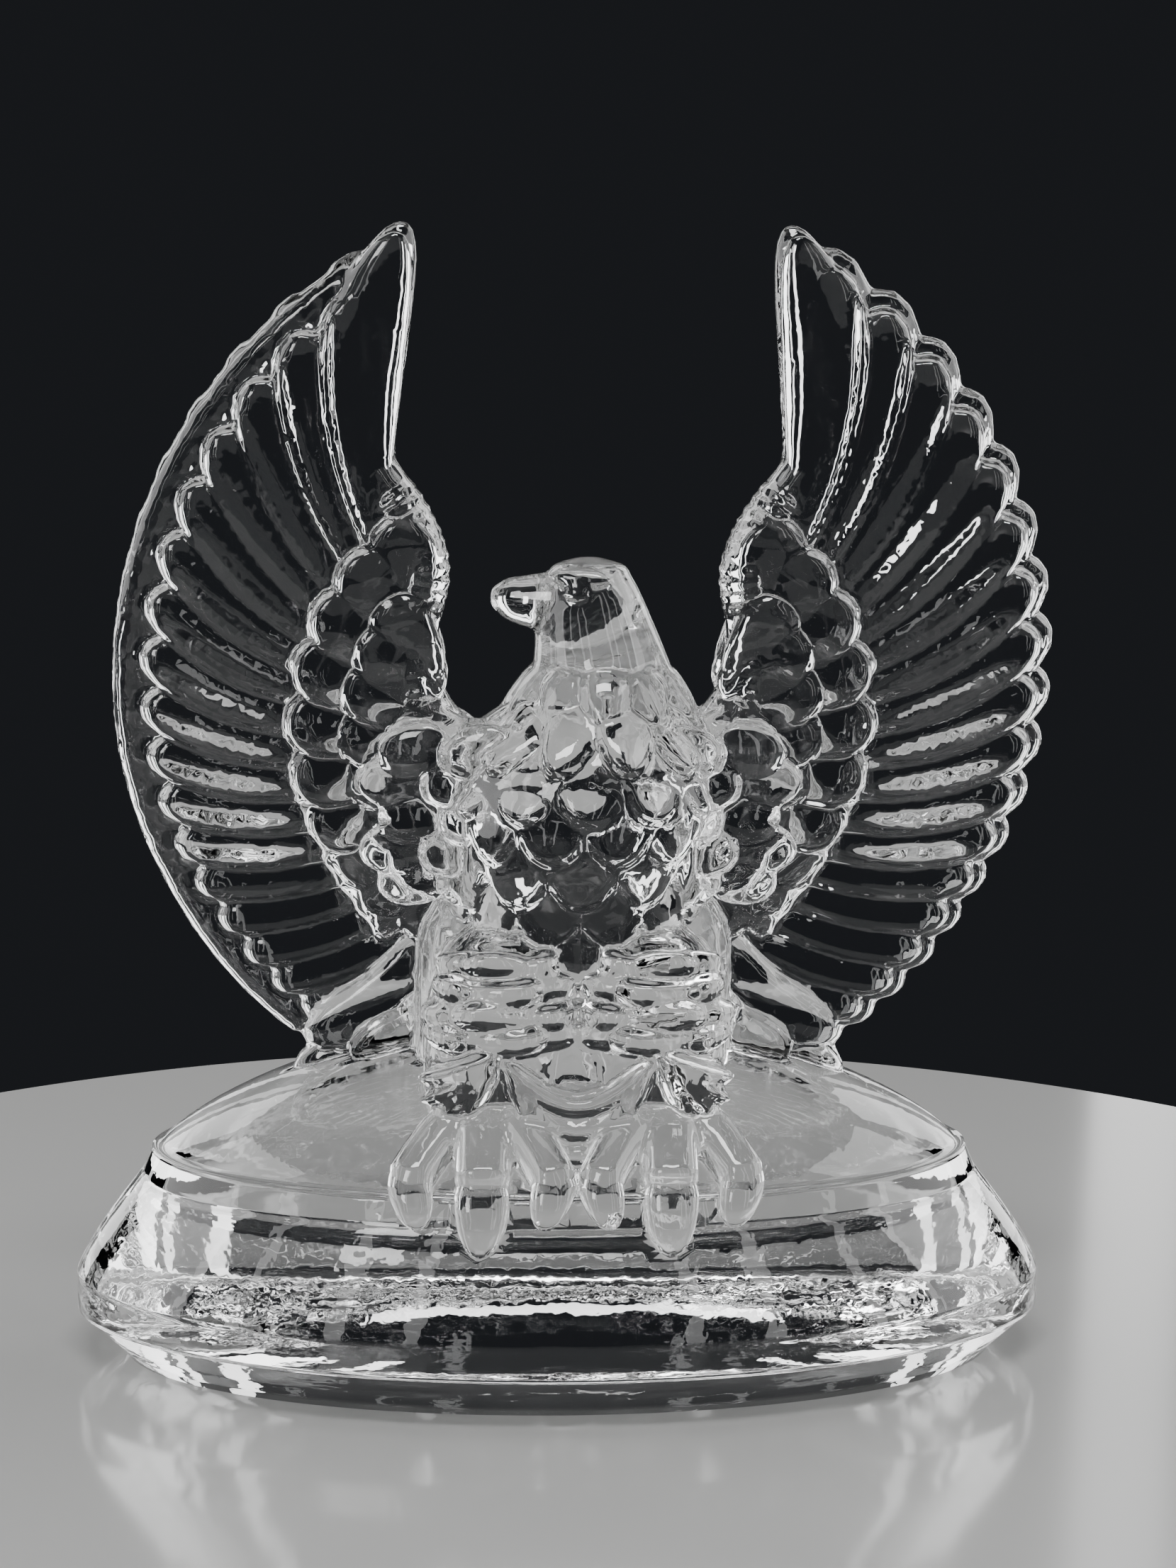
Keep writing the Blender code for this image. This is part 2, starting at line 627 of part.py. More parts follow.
def tail(bm):
    """Fan of tail feathers down the back on to the plinth."""
    for k in range(-TAIL_SIDE_FEATHERS, TAIL_SIDE_FEATHERS + 1):
        root = np.array([BIRD_X + k * TAIL_ROOT[0], TAIL_ROOT[1], TAIL_ROOT[2]])
        tip_y = TAIL_TIP[1] - abs(k) * TAIL_ROUNDING
        tip = np.array([BIRD_X + k * TAIL_TIP[0], tip_y, TAIL_TIP[2]])
        petal(bm, root, tip, (k * 0.12, 1.0, 0.3), *TAIL_LEAF, steps=8, blunt=0.18)


def bird():
    """All carved forms of the bird, melted into one skin by a voxel grid."""
    bm = bmesh.new()
    torso(bm)
    breast(bm)
    face(bm)
    tail(bm)
    belly(bm)
    for side in (1, -1):
        arm(bm, side)
        shoulder(bm, side)
        wing_root(bm, side)
        flight_feathers(bm, side)
        for face_side in (1, -1):
            coverts(bm, side, face_side)
        thigh(bm, side)
        foot(bm, side)
    rim_bead(bm, -1)
    size = (FIGURE_HEIGHT - RIM_HEIGHT) / (DRAWN_HEIGHT - DRAWN_RIM)
    slant = math.tan(math.radians(BIRD_TILT))
    for vert in bm.verts:
        above = (vert.co.z - DRAWN_RIM) * size
        vert.co = (vert.co.x * size + above * slant, vert.co.y * size, RIM_HEIGHT + above)
    loft(bm, plinth_rings(HIDDEN_INSET))
    obj = make_object("eagle_figurine", bm)
    melt = obj.modifiers.new("melt", "REMESH")
    melt.mode = "VOXEL"
    melt.voxel_size = VOXEL * MM
    melt.adaptivity = 0.0
    soften = obj.modifiers.new("soften", "SMOOTH")
    soften.factor = 0.5
    soften.iterations = 2
    return obj


def plinth_rings(shrink=0.0):
    """Rings of the plinth from the ground up: foot, chamfer, girth, shoulder, rim and mound."""
    a, b = BASE_WIDTH / 2 - shrink, BASE_DEPTH / 2 - shrink
    rings = []

    def ring(inset_x, inset_y, z):
        across = np.array([a - inset_x, 0.0, 0.0])
        deep = np.array([0.0, b - inset_y, 0.0])
        rings.append(oval(np.array([0.0, 0.0, z]), across, deep, BASE_SIDES))

    def edge(inset_x, inset_y, z, before, after):
        """Small round between the slopes before and after, each given as (outwards, up)."""
        for dx, dz in (before, (0.0, 0.0), after):
            ring(inset_x - dx * EDGE_ROUND, inset_y - dx * EDGE_ROUND, z + dz * EDGE_ROUND)

    ring(FOOT_INSET, FOOT_INSET, shrink)
    ring(CHAMFER_INSET, CHAMFER_INSET, CHAMFER_HEIGHT)
    edge(0.0, 0.0, GIRTH_BOTTOM, (-0.8, -0.6), (0.0, 1.0))
    edge(0.0, 0.0, GIRTH_TOP, (0.0, -1.0), (-0.2, 1.0))
    steps = SHOULDER_STEPS
    for i in range(1, steps):
        t = 0.05 + 0.95 * i / steps
        inset = t**SHOULDER_ROUNDNESS
        z = GIRTH_TOP + (SHOULDER_HEIGHT - GIRTH_TOP) * t
        ring(SHOULDER_INSET_X * inset, SHOULDER_INSET_Y * inset, z)
    edge(SHOULDER_INSET_X, SHOULDER_INSET_Y, SHOULDER_HEIGHT, (0.7, -0.7), (-0.2, 1.0))
    rim_x, rim_y = SHOULDER_INSET_X + RIM_INSET, SHOULDER_INSET_Y + RIM_INSET
    edge(rim_x, rim_y, RIM_HEIGHT - shrink, (0.2, -1.0), (-1.0, 0.1))
    steps = MOUND_STEPS
    for i in range(1, steps):
        r = math.cos(math.pi / 2 * i / steps)
        z = RIM_HEIGHT - shrink + MOUND_RISE * (1 - r * r) ** MOUND_ROUNDNESS
        inner_x = a - rim_x - 2.0 * EDGE_ROUND
        inner_y = b - rim_y - 2.0 * EDGE_ROUND
        ring(a - inner_x * r, b - inner_y * r, z)
    return rings


def base():
    """Oval plinth as an exact solid."""
    bm = bmesh.new()
    loft(bm, plinth_rings())
    return make_object("plinth", bm)


def glass():
    """Clear lead crystal."""
    material = bpy.data.materials.new("clear_glass")
    material.use_nodes = True
    shader = material.node_tree.nodes["Principled BSDF"]
    shader.inputs["Base Color"].default_value = (0.97, 0.98, 0.98, 1.0)
    shader.inputs["Roughness"].default_value = 0.03
    shader.inputs["Metallic"].default_value = 0.0
    shader.inputs["IOR"].default_value = 1.54
    shader.inputs["Transmission Weight"].default_value = 1.0
    return material


def keep_outer_skin(obj):
    """Bake the modifiers of obj and drop every pocket inside its outer skin."""
    depsgraph = bpy.context.evaluated_depsgraph_get()
    bm = bmesh.new()
    bm.from_mesh(obj.evaluated_get(depsgraph).data)
    left = set(bm.verts)
    skins = []
    while left:
        skin = set()
        front = [left.pop()]
        while front:
            vert = front.pop()
            skin.add(vert)
            for edge in vert.link_edges:
                other = edge.other_vert(vert)
                if other in left:
                    left.remove(other)
                    front.append(other)
        skins.append(skin)
    skins.sort(key=len)
    for skin in skins[:-1]:
        bmesh.ops.delete(bm, geom=list(skin), context="VERTS")
    obj.modifiers.clear()
    bm.to_mesh(obj.data)
    bm.free()


def main():
    for obj in list(bpy.data.objects):
        bpy.data.objects.remove(obj, do_unlink=True)
    plinth = base()
    plinth.hide_render = True
    plinth.display_type = "WIRE"
    eagle = bird()
    keep_outer_skin(eagle)
    eagle.data.materials.append(glass())
    thin = eagle.modifiers.new("thin", "DECIMATE")
    thin.ratio = BIRD_TRIANGLES / (2 * len(eagle.data.polygons))
    join = eagle.modifiers.new("stand", "BOOLEAN")
    join.operation = "UNION"
    join.object = plinth
    keep_outer_skin(eagle)


main()
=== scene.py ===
"""Looks of the clear pressed-glass eagle: carved casting, glass, table and light.

The viewer stands at -Y and looks along +Y. The carving is worked out in millimetres.
"""

import math

import bmesh
import bpy
import numpy as np
from mathutils import Matrix, Vector


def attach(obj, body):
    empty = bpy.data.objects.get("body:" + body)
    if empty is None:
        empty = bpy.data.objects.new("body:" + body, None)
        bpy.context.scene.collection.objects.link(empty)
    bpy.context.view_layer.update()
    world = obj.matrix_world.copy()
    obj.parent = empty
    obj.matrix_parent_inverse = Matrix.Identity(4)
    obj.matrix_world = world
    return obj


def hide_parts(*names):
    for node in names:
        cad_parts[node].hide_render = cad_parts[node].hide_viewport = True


MM = 0.001

# Plinth: oval rings from the ground up, and the mound that the bird stands on
BASE_WIDTH = 128.0
BASE_DEPTH = 67.0
GIRTH_TOP = 10.8
GIRTH_BOTTOM = 6.4
FOOT_INSET = 6.2
CHAMFER_INSET = 5.1
CHAMFER_HEIGHT = 1.5
SHOULDER_INSET_X = 8.9
SHOULDER_INSET_Y = 3.4
SHOULDER_HEIGHT = 24.3
SHOULDER_ROUNDNESS = 1.25
RIM_INSET = 1.2
RIM_HEIGHT = 27.6
MOUND_RISE = 16.2
MOUND_ROUNDNESS = 0.8
EDGE_ROUND = 0.5
BASE_SIDES = 160
SHOULDER_STEPS = 10
MOUND_STEPS = 22

# Whole figure: wing tips above the ground, the bird's centre line beside the plinth's, and its
# sideways lean in degrees
FIGURE_HEIGHT = 145.0
BIRD_X = 0.9
BIRD_TILT = 1.1

# The bird is drawn for this height and this rim, then scaled to the sizes above
DRAWN_HEIGHT = 145.25
DRAWN_RIM = 27.6

# Wing outline: two arcs that meet where the wing is widest
WING_REACH = 59.2
WING_WIDEST_Z = 88.0
WING_UPPER_RADIUS = 62.5
WING_LOWER_RADIUS = 58.0
WING_TIP_ANGLE = 65.3
WING_END_ANGLE = -55.0
WING_LEAN_FROM_Z = 62.0
WING_LEAN = 0.27
WING_SWEEP = 0.12
WING_RIM_BAND = {1: 2.4, -1: 5.4}
BEAD_INSET = {1: 0.0, -1: 0.9}
BEAD_RADIUS = 2.1
BEAD_HALF_DEPTH = 2.4
BEAD_FROM = 0.03
BEAD_TO = 0.98
BEAD_STEPS = 24
WING_Y = 2.0
ARM_LIFT = 0.6

FLIGHT_FEATHERS = 18
FEATHER_NARROWING = 0.6
FEATHER_BEND = 0.2
FEATHER_TILT = 8.0
FEATHER_OVERLAP = 1.2
FRONT_BLADE_SHARE = 0.74
BACK_BLADE_LIFT = -1.3
BACK_BLADE_THICKNESS = 5.6
FRONT_BLADE_LIFT = 1.8
FRONT_BLADE_THICKNESS = 5.8
TIP_BLADE_WIDTH = 10.4
TIP_BLADE_SHORTER = 0.03
COVERT_LENGTH = 12.5
COVERT_WIDTH = 8.6
COVERT_THICKNESS = 3.4
COVERT_SQUARENESS = 3.0
COVERT_RISE = 1.6
COVERT_BED = [(20.0, 55.0), (41.0, 82.0), (23.0, 111.0)]
COVERT_BED_WIDTH = 15.0
COVERT_BED_THICKNESS = 10.0
COVERT_CENTRE = (12.0, 84.0)
COVERT_SOURCE = (22.0, 83.0, 15.0)
COVERT_FRONT_LIFT = 1.3
COVERT_REACH = (25.0, 29.0)

# Rows of coverts: share of the reach, first and last angle, lift of the tips off the wing
COVERT_ROWS = [(1.0, 64.0, -76.0, 4.4), (0.74, 50.0, -72.0, 5.2), (0.46, 6.0, -62.0, 5.8)]
COVERT_COUNTS = (10, 8, 5)

BODY_HALF_WIDTH = 19.0
LEG_X = 9.6
LEG_Y = -13.0
LEG_Z = 45.5
LEG_HALF_WIDTH = 9.2
LEG_FLARE = 1.0
LEG_HALF_DEPTH = 11.5
LEG_HALF_HEIGHT = 13.6
LEG_SQUARENESS = 2.7
LEG_ROUNDNESS = 0.66
BELLY_WIDTH = 17.0
BELLY_THICKNESS = 20.4
BELLY_TOP = 52.6
# Smooth column between each leg and the wing: x, y, heights of both ends, width, thickness
FLANK = (15.6, -5.5, 30.0, 62.0, 9.6, 14.0)
FOOT_X = 11.5
HEAD_Y = -9.5

# Inner ends of the flight feathers, and the middle line of the tip feather, as (x, z)
FEATHER_ROOTS = [(22.0, 104.0), (34.0, 102.0), (36.0, 72.0), (15.0, 50.0)]
TIP_FEATHER = [(25.5, 100.0), (33.0, 123.0)]

# Inner part of a wing, from the ground up and out: path as (x, z), lift, width, thickness
WING_ROOT = [
    ([(15.0, 36.0), (19.0, 62.0), (19.0, 86.0)], 0.2, 17.0, 8.5),
    ([(27.0, 37.5), (26.0, 62.0), (24.0, 90.0)], 0.2, 17.0, 7.5),
    ([(17.0, 62.0), (21.0, 47.0), (35.0, 42.5)], 3.2, 7.0, 6.0),
    ([(15.0, 54.0), (17.0, 43.0), (29.0, 40.5)], 5.0, 7.0, 6.0),
    ([(12.0, 38.5), (24.0, 39.5), (36.5, 36.5)], 0.0, 9.0, 8.0),
]

# Leading edge of a wing: share of its length, x, z, half width, half depth
ARM = [
    (0.0, 12.5, 77.0, 5.5, 8.5),
    (0.15, 18.2, 82.5, 4.0, 7.6),
    (0.32, 21.2, 89.5, 3.2, 6.6),
    (0.48, 21.3, 96.5, 3.0, 6.0),
    (0.64, 20.0, 103.8, 3.0, 6.0),
    (0.78, 22.1, 110.0, 2.8, 5.0),
    (0.9, 25.8, 115.5, 2.7, 4.2),
    (1.0, 28.5, 121.5, 1.8, 2.8),
]

# Body, neck and head: height, centre x, half width, front y, back y
TORSO = [
    (30.0, 0.0, 17.5, -16.0, 16.0),
    (45.0, 0.0, 17.5, -16.0, 15.5),
    (57.0, 0.0, 15.2, -18.0, 14.0),
    (66.0, 0.0, 15.8, -22.5, 13.0),
    (76.0, 0.3, 17.4, -24.5, 12.0),
    (80.0, 0.8, 17.6, -23.2, 11.0),
    (83.0, 1.8, 13.8, -20.8, 8.8),
    (86.0, 2.6, 10.8, -18.8, 6.2),
    (90.0, 2.7, 9.3, -17.6, 3.5),
    (93.5, 2.2, 8.3, -16.8, 1.0),
    (97.0, 1.4, 7.5, -16.3, -0.8),
    (100.4, 0.9, 6.4, -15.8, -2.0),
    (103.0, 0.6, 5.2, -14.8, -3.6),
    (104.6, 0.5, 3.8, -13.6, -5.0),
    (105.3, 0.4, 1.2, -11.0, -8.0),
]

# Shoulders: soft beds from the chest out over each wing, as x, y, z of both ends, width and
# thickness, and the rows of short feathers on them
SHOULDER_BEDS = [
    ((6.0, -11.5, 77.0), (25.0, -6.0, 77.5), 15.5, 12.0),
    ((7.0, -9.5, 68.5), (24.0, -4.5, 69.0), 14.0, 11.0),
]
SHOULDER_ROWS = (81.5, 77.3, 73.0, 68.7, 64.5)
SHOULDER_COLUMNS = (8.5, 16.5)
SHOULDER_STEP = 2.4
SHOULDER_Y = -18.2
SHOULDER_SLOPE = 0.34
SHOULDER_RECESS = 0.15
SHOULDER_FEATHER = (9.0, 6.6, 3.0)

# Beak: share of its length, x, z, half height, half depth
BEAK = [
    (0.0, -2.0, 99.6, 4.0, 4.8),
    (0.3, -5.4, 99.7, 3.6, 3.9),
    (0.6, -8.2, 99.8, 3.1, 3.0),
    (0.85, -10.4, 100.1, 2.3, 2.2),
    (1.0, -11.8, 100.2, 1.0, 1.0),
]

# Chest feathers: height of a row and feather length; the counts are for the whole ring
BREAST_ROWS = [(88.0, 6.5), (83.0, 8.0), (77.5, 9.0), (72.0, 9.0), (66.5, 9.0), (61.0, 8.5)]
BREAST_COUNTS = (11, 13, 13, 13, 12, 12)
BREAST_SINK = 1.3
BREAST_LIFT = 0.9
BREAST_THICKNESS = 2.8
BREAST_OVERLAP = 1.15

# Brow ridge and eye on each side of the head: back x and z, front x and z, width, thickness
BROW = (3.0, 102.6, -4.9, 103.0, 2.4, 2.2)
EYE = (0.4, 100.9, -3.0, 101.0, 1.9, 2.0)
FACE_HALF_DEPTH = 6.5
BEAK_STEPS = 11
BEAK_SIDES = 12
BROW_TAPER = 1.6
EYE_TAPER = 0.6

# Heights of the short overlapping feathers across the upper leg, and where each starts and ends
# in quarter turns round the leg
LEG_RIDGES = (55.6, 52.6, 49.6, 46.8)
RIDGE_SPANS = ((-0.82, -0.2), (-0.35, 0.35), (0.2, 0.82))
RIDGE_LEAF = (3.2, 3.0)
RIDGE_LIFT = 2.5
RIDGE_WAVE = 0.8

# Locks that fan out from the front of a leg: sideways end in quarter turns, its height
LOCK_TOP = 45.0
LOCKS = [(0.72, 41.2), (0.7, 38.3), (0.66, 35.4), (0.56, 32.6)]
LOCK_LEAF = (2.4, 3.4)
LOCK_LIFT = 3.2

# Swags that hang from one leg to the other: lowest height of each, and how far forward they lie
SWAGS = (38.4, 35.4, 32.4)
SWAG_X = 9.4
SWAG_Y = -24.6
SWAG_LEAF = (2.3, 3.4)

# Toes: sideways place of knuckle and claw tip beside the foot, their heights, half width
TOES = [
    (-9.4, -7.2, 30.6, 25.0, 2.5),
    (0.0, 0.2, 30.4, 21.4, 3.1),
    (9.6, 7.4, 30.4, 24.6, 2.5),
]
ANKLE_Y = -21.0
ANKLE_Z = 37.0
TOE_THICKNESS = 5.8
TOE_ARCH = 3.4
CLAW_THICKNESS = 4.6
CLAW_BEND = 2.2
CLAW_OUT = 1.7

# Tail fan: feathers on each side of the middle one, sideways step with y and z of both ends,
# and how far the outer ones fall back
TAIL_SIDE_FEATHERS = 2
TAIL_ROOT = (3.4, 9.0, 68.0)
TAIL_TIP = (7.4, 22.5, 30.5)
TAIL_ROUNDING = 1.2
TAIL_LEAF = (10.5, 8.0)

# How far under the plinth's skin its copy in the bird's mesh lies
HIDDEN_INSET = 0.2

# Mesh fineness of the carved bird
VOXEL = 0.46
TORSO_STEPS = 90
TORSO_SIDES = 72
LEG_STEPS = 28
LEG_SIDES = 56
BIRD_TRIANGLES = 196000

# Camera: place in metres, turn to the right, tilt down and roll in degrees, lens and frame height in
# millimetres, and the point that the lights look at
CAMERA_PLACE = (-0.01117, -0.3198, 0.116)
CAMERA_YAW = 2.593
CAMERA_PITCH = 7.264
CAMERA_ROLL = 0.35
LENS = 56.66
FRAME_HEIGHT = 36.0
NEAR_CLIP = 0.01
LOOK_AT = (0.0, 0.0, 0.07)

# Ribs in the grooves between the flight feathers, and fine ribs across the leading edges
RIB_WIDTH = 1.1
RIB_THICKNESS = 4.4
RIB_LIFT = 1.6
RIB_GAP = 0.6
RIB_STEPS = 14
RIB_BLUNT = 0.15
TIP_RIB_RISE = 1.85
TIP_RIB_UNTIL = 0.5
ARM_RIBS = 26
ARM_RIB_FROM = 0.12
ARM_RIB_TO = 0.84
ARM_RIB_WIDTH = 1.0
ARM_RIB_RISE = 0.35
ARM_RIB_ACROSS = 0.97
ARM_RIB_DEEP = 1.03
ARM_RIB_SIDES = 20

# Glass: refractive index, tint, ripple of the skin and fine haze
GLASS_IOR = 1.54
GLASS_TINT = (0.985, 0.99, 0.99, 1.0)
RIPPLE_SCALE = 160.0
RIPPLE_STRENGTH = 0.25
RIPPLE_DISTANCE = 0.0004
HAZE_SCALE = 900.0
HAZE_FROM = 0.35
HAZE_TO = 0.8
HAZE_ROUGHNESS = 0.05

# Table top in metres: radius, each edge ring as a change of radius with a height, sides and looks
TABLE_RADIUS = 0.17
TABLE_EDGE = [(-0.004, -0.012), (0.0, -0.010), (0.0, -0.002), (-0.0006, -0.0006), (-0.002, 0.0)]
TABLE_SIDES = 180
TABLE_GAP = 0.0002
TABLE_COLOUR = (0.3, 0.3, 0.296, 1.0)
TABLE_ROUGHNESS = 0.12

# Colour of the even surround, and the soft boxes by name, place, size and power
SURROUND = (0.012, 0.013, 0.015, 1.0)
SOFT_BOXES = [
    ("left_box", (-0.9, 0.0, 0.4), (0.8, 1.0), 9.0),
    ("right_box", (0.9, 0.0, 0.4), (0.8, 1.0), 9.0),
    ("left_rear_box", (-0.75, 0.8, 0.4), (0.35, 1.0), 5.0),
    ("right_rear_box", (0.75, 0.8, 0.4), (0.35, 1.0), 5.0),
    ("top_box", (0.0, 0.15, 1.1), (0.9, 0.4), 3.0),
    ("high_front_strip", (0.0, -0.5, 0.95), (0.5, 0.16), 7.0),
    ("window", (-0.45, -0.8, 0.45), (0.22, 0.3), 3.0),
]

# Thin upright strips round the ornament, by their angle from straight behind it
STRIP_AZIMUTHS = (-160, -148, -128, -112, -72, -30, -20, 20, 30, 72, 112, 128, 148, 160)
STRIP_DISTANCE = 0.95
STRIP_Z = 0.3
STRIP_SIZE = (0.05, 0.8)
STRIP_POWER = 0.35


def smoothstep(t):
    """0 below 0, 1 above 1, and a soft ramp between."""
    t = min(1.0, max(0.0, t))
    return t * t * (3.0 - 2.0 * t)


def unit(v):
    """v at length one."""
    return v / np.linalg.norm(v)


def bezier(points, t):
    """Point of a Bezier curve with any number of control points."""
    points = np.array(points, float)
    while len(points) > 1:
        points = points[:-1] + (points[1:] - points[:-1]) * t
    return points[0]


def through(stations, t):
    """Row of smoothly blended values at t, from rows whose first number is the place."""
    rows = np.array(stations, float)
    places = rows[:, 0]
    slopes = np.gradient(rows[:, 1:], places, axis=0)
    t = min(max(t, places[0]), places[-1])
    i = min(int(np.searchsorted(places, t, side="right")) - 1, len(places) - 2)
    h = places[i + 1] - places[i]
    u = (t - places[i]) / h
    start, end = rows[i, 1:], rows[i + 1, 1:]
    return (
        (2 * u**3 - 3 * u**2 + 1) * start
        + (u**3 - 2 * u**2 + u) * h * slopes[i]
        + (3 * u**2 - 2 * u**3) * end
        + (u**3 - u**2) * h * slopes[i + 1]
    )


def oval(centre, across, depth, sides, power=2.0):
    """Ring of points round centre; across and depth are its half axes as vectors."""
    ring = []
    for k in range(sides):
        a = 2.0 * math.pi * k / sides
        c, s = math.cos(a), math.sin(a)
        u = math.copysign(abs(c) ** (2.0 / power), c)
        v = math.copysign(abs(s) ** (2.0 / power), s)
        ring.append(centre + u * across + v * depth)
    return ring


def loft(bm, rings):
    """Closed skin over rings of equal count, shut with a fan at each end, faces out."""
    rows = [[bm.verts.new(p) for p in ring] for ring in rings]
    faces = []
    sides = len(rows[0])
    for low, high in zip(rows, rows[1:]):
        for k in range(sides):
            n = (k + 1) % sides
            faces.append(bm.faces.new((low[k], low[n], high[n], high[k])))
    for row, turned in ((rows[0], True), (rows[-1], False)):
        middle = bm.verts.new(sum((v.co for v in row), row[0].co * 0) / sides)
        for k in range(sides):
            n = (k + 1) % sides
            corners = (middle, row[n], row[k]) if turned else (middle, row[k], row[n])
            faces.append(bm.faces.new(corners))
    bmesh.ops.recalc_face_normals(bm, faces=faces)


def petal(
    bm, root, tip, normal, width, thickness, steps=10, sides=18, control=None, blunt=0.5, power=2.4
):
    """Rounded closed leaf from root to tip; normal is the way that its broad face looks."""
    root, tip, normal = np.array(root, float), np.array(tip, float), unit(np.array(normal, float))
    if control is None:
        control = (root + tip) / 2
    rings = []
    for i in range(steps + 1):
        t = 0.5 - 0.5 * math.cos(math.pi * (0.04 + 0.92 * i / steps))
        middle = bezier([root, control, tip], t)
        ahead = bezier([root, control, tip], min(1.0, t + 0.01))
        behind = bezier([root, control, tip], max(0.0, t - 0.01))
        along = unit(ahead - behind)
        side = unit(np.cross(along, normal))
        up = unit(np.cross(side, along))
        share = round_ends(t, 0.35, blunt)
        across = side * width / 2 * share
        rings.append(oval(middle, across, up * thickness / 2 * share**0.7, sides, power))
    loft(bm, rings)


def round_ends(t, start, end):
    """Share of full width along a leaf: an elliptic ramp over start, and one over end."""
    low = math.sqrt(max(0.0, 1.0 - (1.0 - min(1.0, t / start)) ** 2))
    high = math.sqrt(max(0.0, 1.0 - (1.0 - min(1.0, (1.0 - t) / end)) ** 2))
    return max(0.02, low * high)


def wing_point(side, x, z, lift=0.0):
    """Point in a wing's curved middle sheet; lift moves it towards the viewer."""
    lean = WING_LEAN * max(0.0, z - WING_LEAN_FROM_Z)
    sweep = WING_SWEEP * max(0.0, x - BODY_HALF_WIDTH)
    return np.array([BIRD_X + side * x, WING_Y - lean - sweep - lift, z])


def outline_length():
    """Length of the wing outline from the tip to the foot of the wing."""
    upper = WING_UPPER_RADIUS * math.radians(WING_TIP_ANGLE)
    return upper + WING_LOWER_RADIUS * math.radians(-WING_END_ANGLE)


def wing_edge(share):
    """Point (x, z) of the wing outline, from the tip at share 0 to the foot of the wing at 1."""
    run = WING_UPPER_RADIUS * math.radians(WING_TIP_ANGLE) - share * outline_length()
    radius = WING_UPPER_RADIUS if run > 0.0 else WING_LOWER_RADIUS
    angle = run / radius
    return np.array(
        [WING_REACH - radius + radius * math.cos(angle), WING_WIDEST_Z + radius * math.sin(angle)]
    )


def blade(bm, side, path, lift, width, thick, start=0.02, reach=1.0, blunt=0.2, tilt=0.0, steps=9):
    """Long leaf in the wing sheet along a Bezier path of (x, z) points."""
    rings = []
    for i in range(steps + 1):
        t = start + (reach - start) * math.sin(math.pi / 2 * (0.02 + 0.975 * i / steps))
        p = bezier(path, t)
        q = bezier(path, t + 0.01)
        here = wing_point(side, p[0], p[1], lift)
        along = unit(wing_point(side, q[0], q[1], lift) - here)
        across = unit(np.cross(along, np.array([0.0, -1.0, 0.0])))
        up = unit(np.cross(across, along))
        across, up = (
            across * math.cos(tilt) + up * math.sin(tilt),
            up * math.cos(tilt) - across * math.sin(tilt),
        )
        share = t / reach
        end = round_ends(share, 0.05, blunt)
        wide = width / 2 * (0.6 + 0.4 * smoothstep(share / 0.6)) * end
        deep = thick / 2 * (1.0 - 0.22 * share) * end**0.6
        rings.append(oval(here, across * wide, up * deep, 16, 2.8))
    loft(bm, rings)


def flight_feathers(bm, side):
    """Fan of long feathers: full blades behind, and shorter ones in front inside a rim band."""
    widths = np.linspace(1.0, FEATHER_NARROWING, FLIGHT_FEATHERS)
    widths = widths / widths.sum()
    places = np.cumsum(widths) - widths / 2
    tilt = math.radians(FEATHER_TILT) * side
    band = WING_RIM_BAND[side]
    for place, share in zip(places, widths):
        tip = wing_edge(place)
        root = bezier(FEATHER_ROOTS, place**0.9)
        chord = tip - root
        length = np.linalg.norm(chord)
        outward = np.array([chord[1], -chord[0]]) * FEATHER_BEND
        path = [root, (root + tip) / 2 + outward * (1.0 - 0.3 * place), tip]
        width = share * outline_length() * FEATHER_OVERLAP
        blunt = width * 0.6 / length
        back = 1.0 - BEAD_INSET[side] / length
        leaf = (BACK_BLADE_LIFT, width, BACK_BLADE_THICKNESS)
        blade(bm, side, path, *leaf, reach=back, blunt=blunt, tilt=tilt)
        front = 1.0 - band / length
        leaf = (FRONT_BLADE_LIFT, width * FRONT_BLADE_SHARE, FRONT_BLADE_THICKNESS)
        blade(bm, side, path, *leaf, reach=front, blunt=blunt, tilt=tilt)
    tip_path = TIP_FEATHER + [tuple(wing_edge(0.0) + (0.0, 0.6))]
    for lift, front in ((BACK_BLADE_LIFT, 1.0), (FRONT_BLADE_LIFT, 1.0 - TIP_BLADE_SHORTER)):
        leaf = (lift, TIP_BLADE_WIDTH, FRONT_BLADE_THICKNESS)
        blade(bm, side, tip_path, *leaf, reach=front, blunt=0.42, steps=12)


def rim_bead(bm, side):
    """Smooth bead that closes the outer edge of the wing with the wide band."""
    rings = []
    for i in range(BEAD_STEPS + 1):
        share = BEAD_FROM + (BEAD_TO - BEAD_FROM) * i / BEAD_STEPS
        x, z = wing_edge(share)
        ahead = wing_edge(share + 0.01) - wing_edge(share - 0.01)
        outward = unit(np.array([-side * ahead[1], 0.0, ahead[0]]))
        centre = wing_point(side, x, z, BACK_BLADE_LIFT) - outward * BEAD_RADIUS
        rings.append(oval(centre, outward * BEAD_RADIUS, np.array([0.0, BEAD_HALF_DEPTH, 0.0]), 8))
    loft(bm, rings)


def wing_root(bm, side):
    """Inner vane that ties the wing to the body and to the mound."""
    for path, lift, width, thick in WING_ROOT:
        blade(bm, side, path, lift, width, thick, blunt=0.25)


def covert_edge(angle, scale):
    """Point (x, z) on the oval where a row of coverts ends."""
    a = math.radians(angle)
    return np.array(COVERT_CENTRE) + scale * np.array(
        [COVERT_REACH[0] * math.cos(a), COVERT_REACH[1] * math.sin(a)]
    )


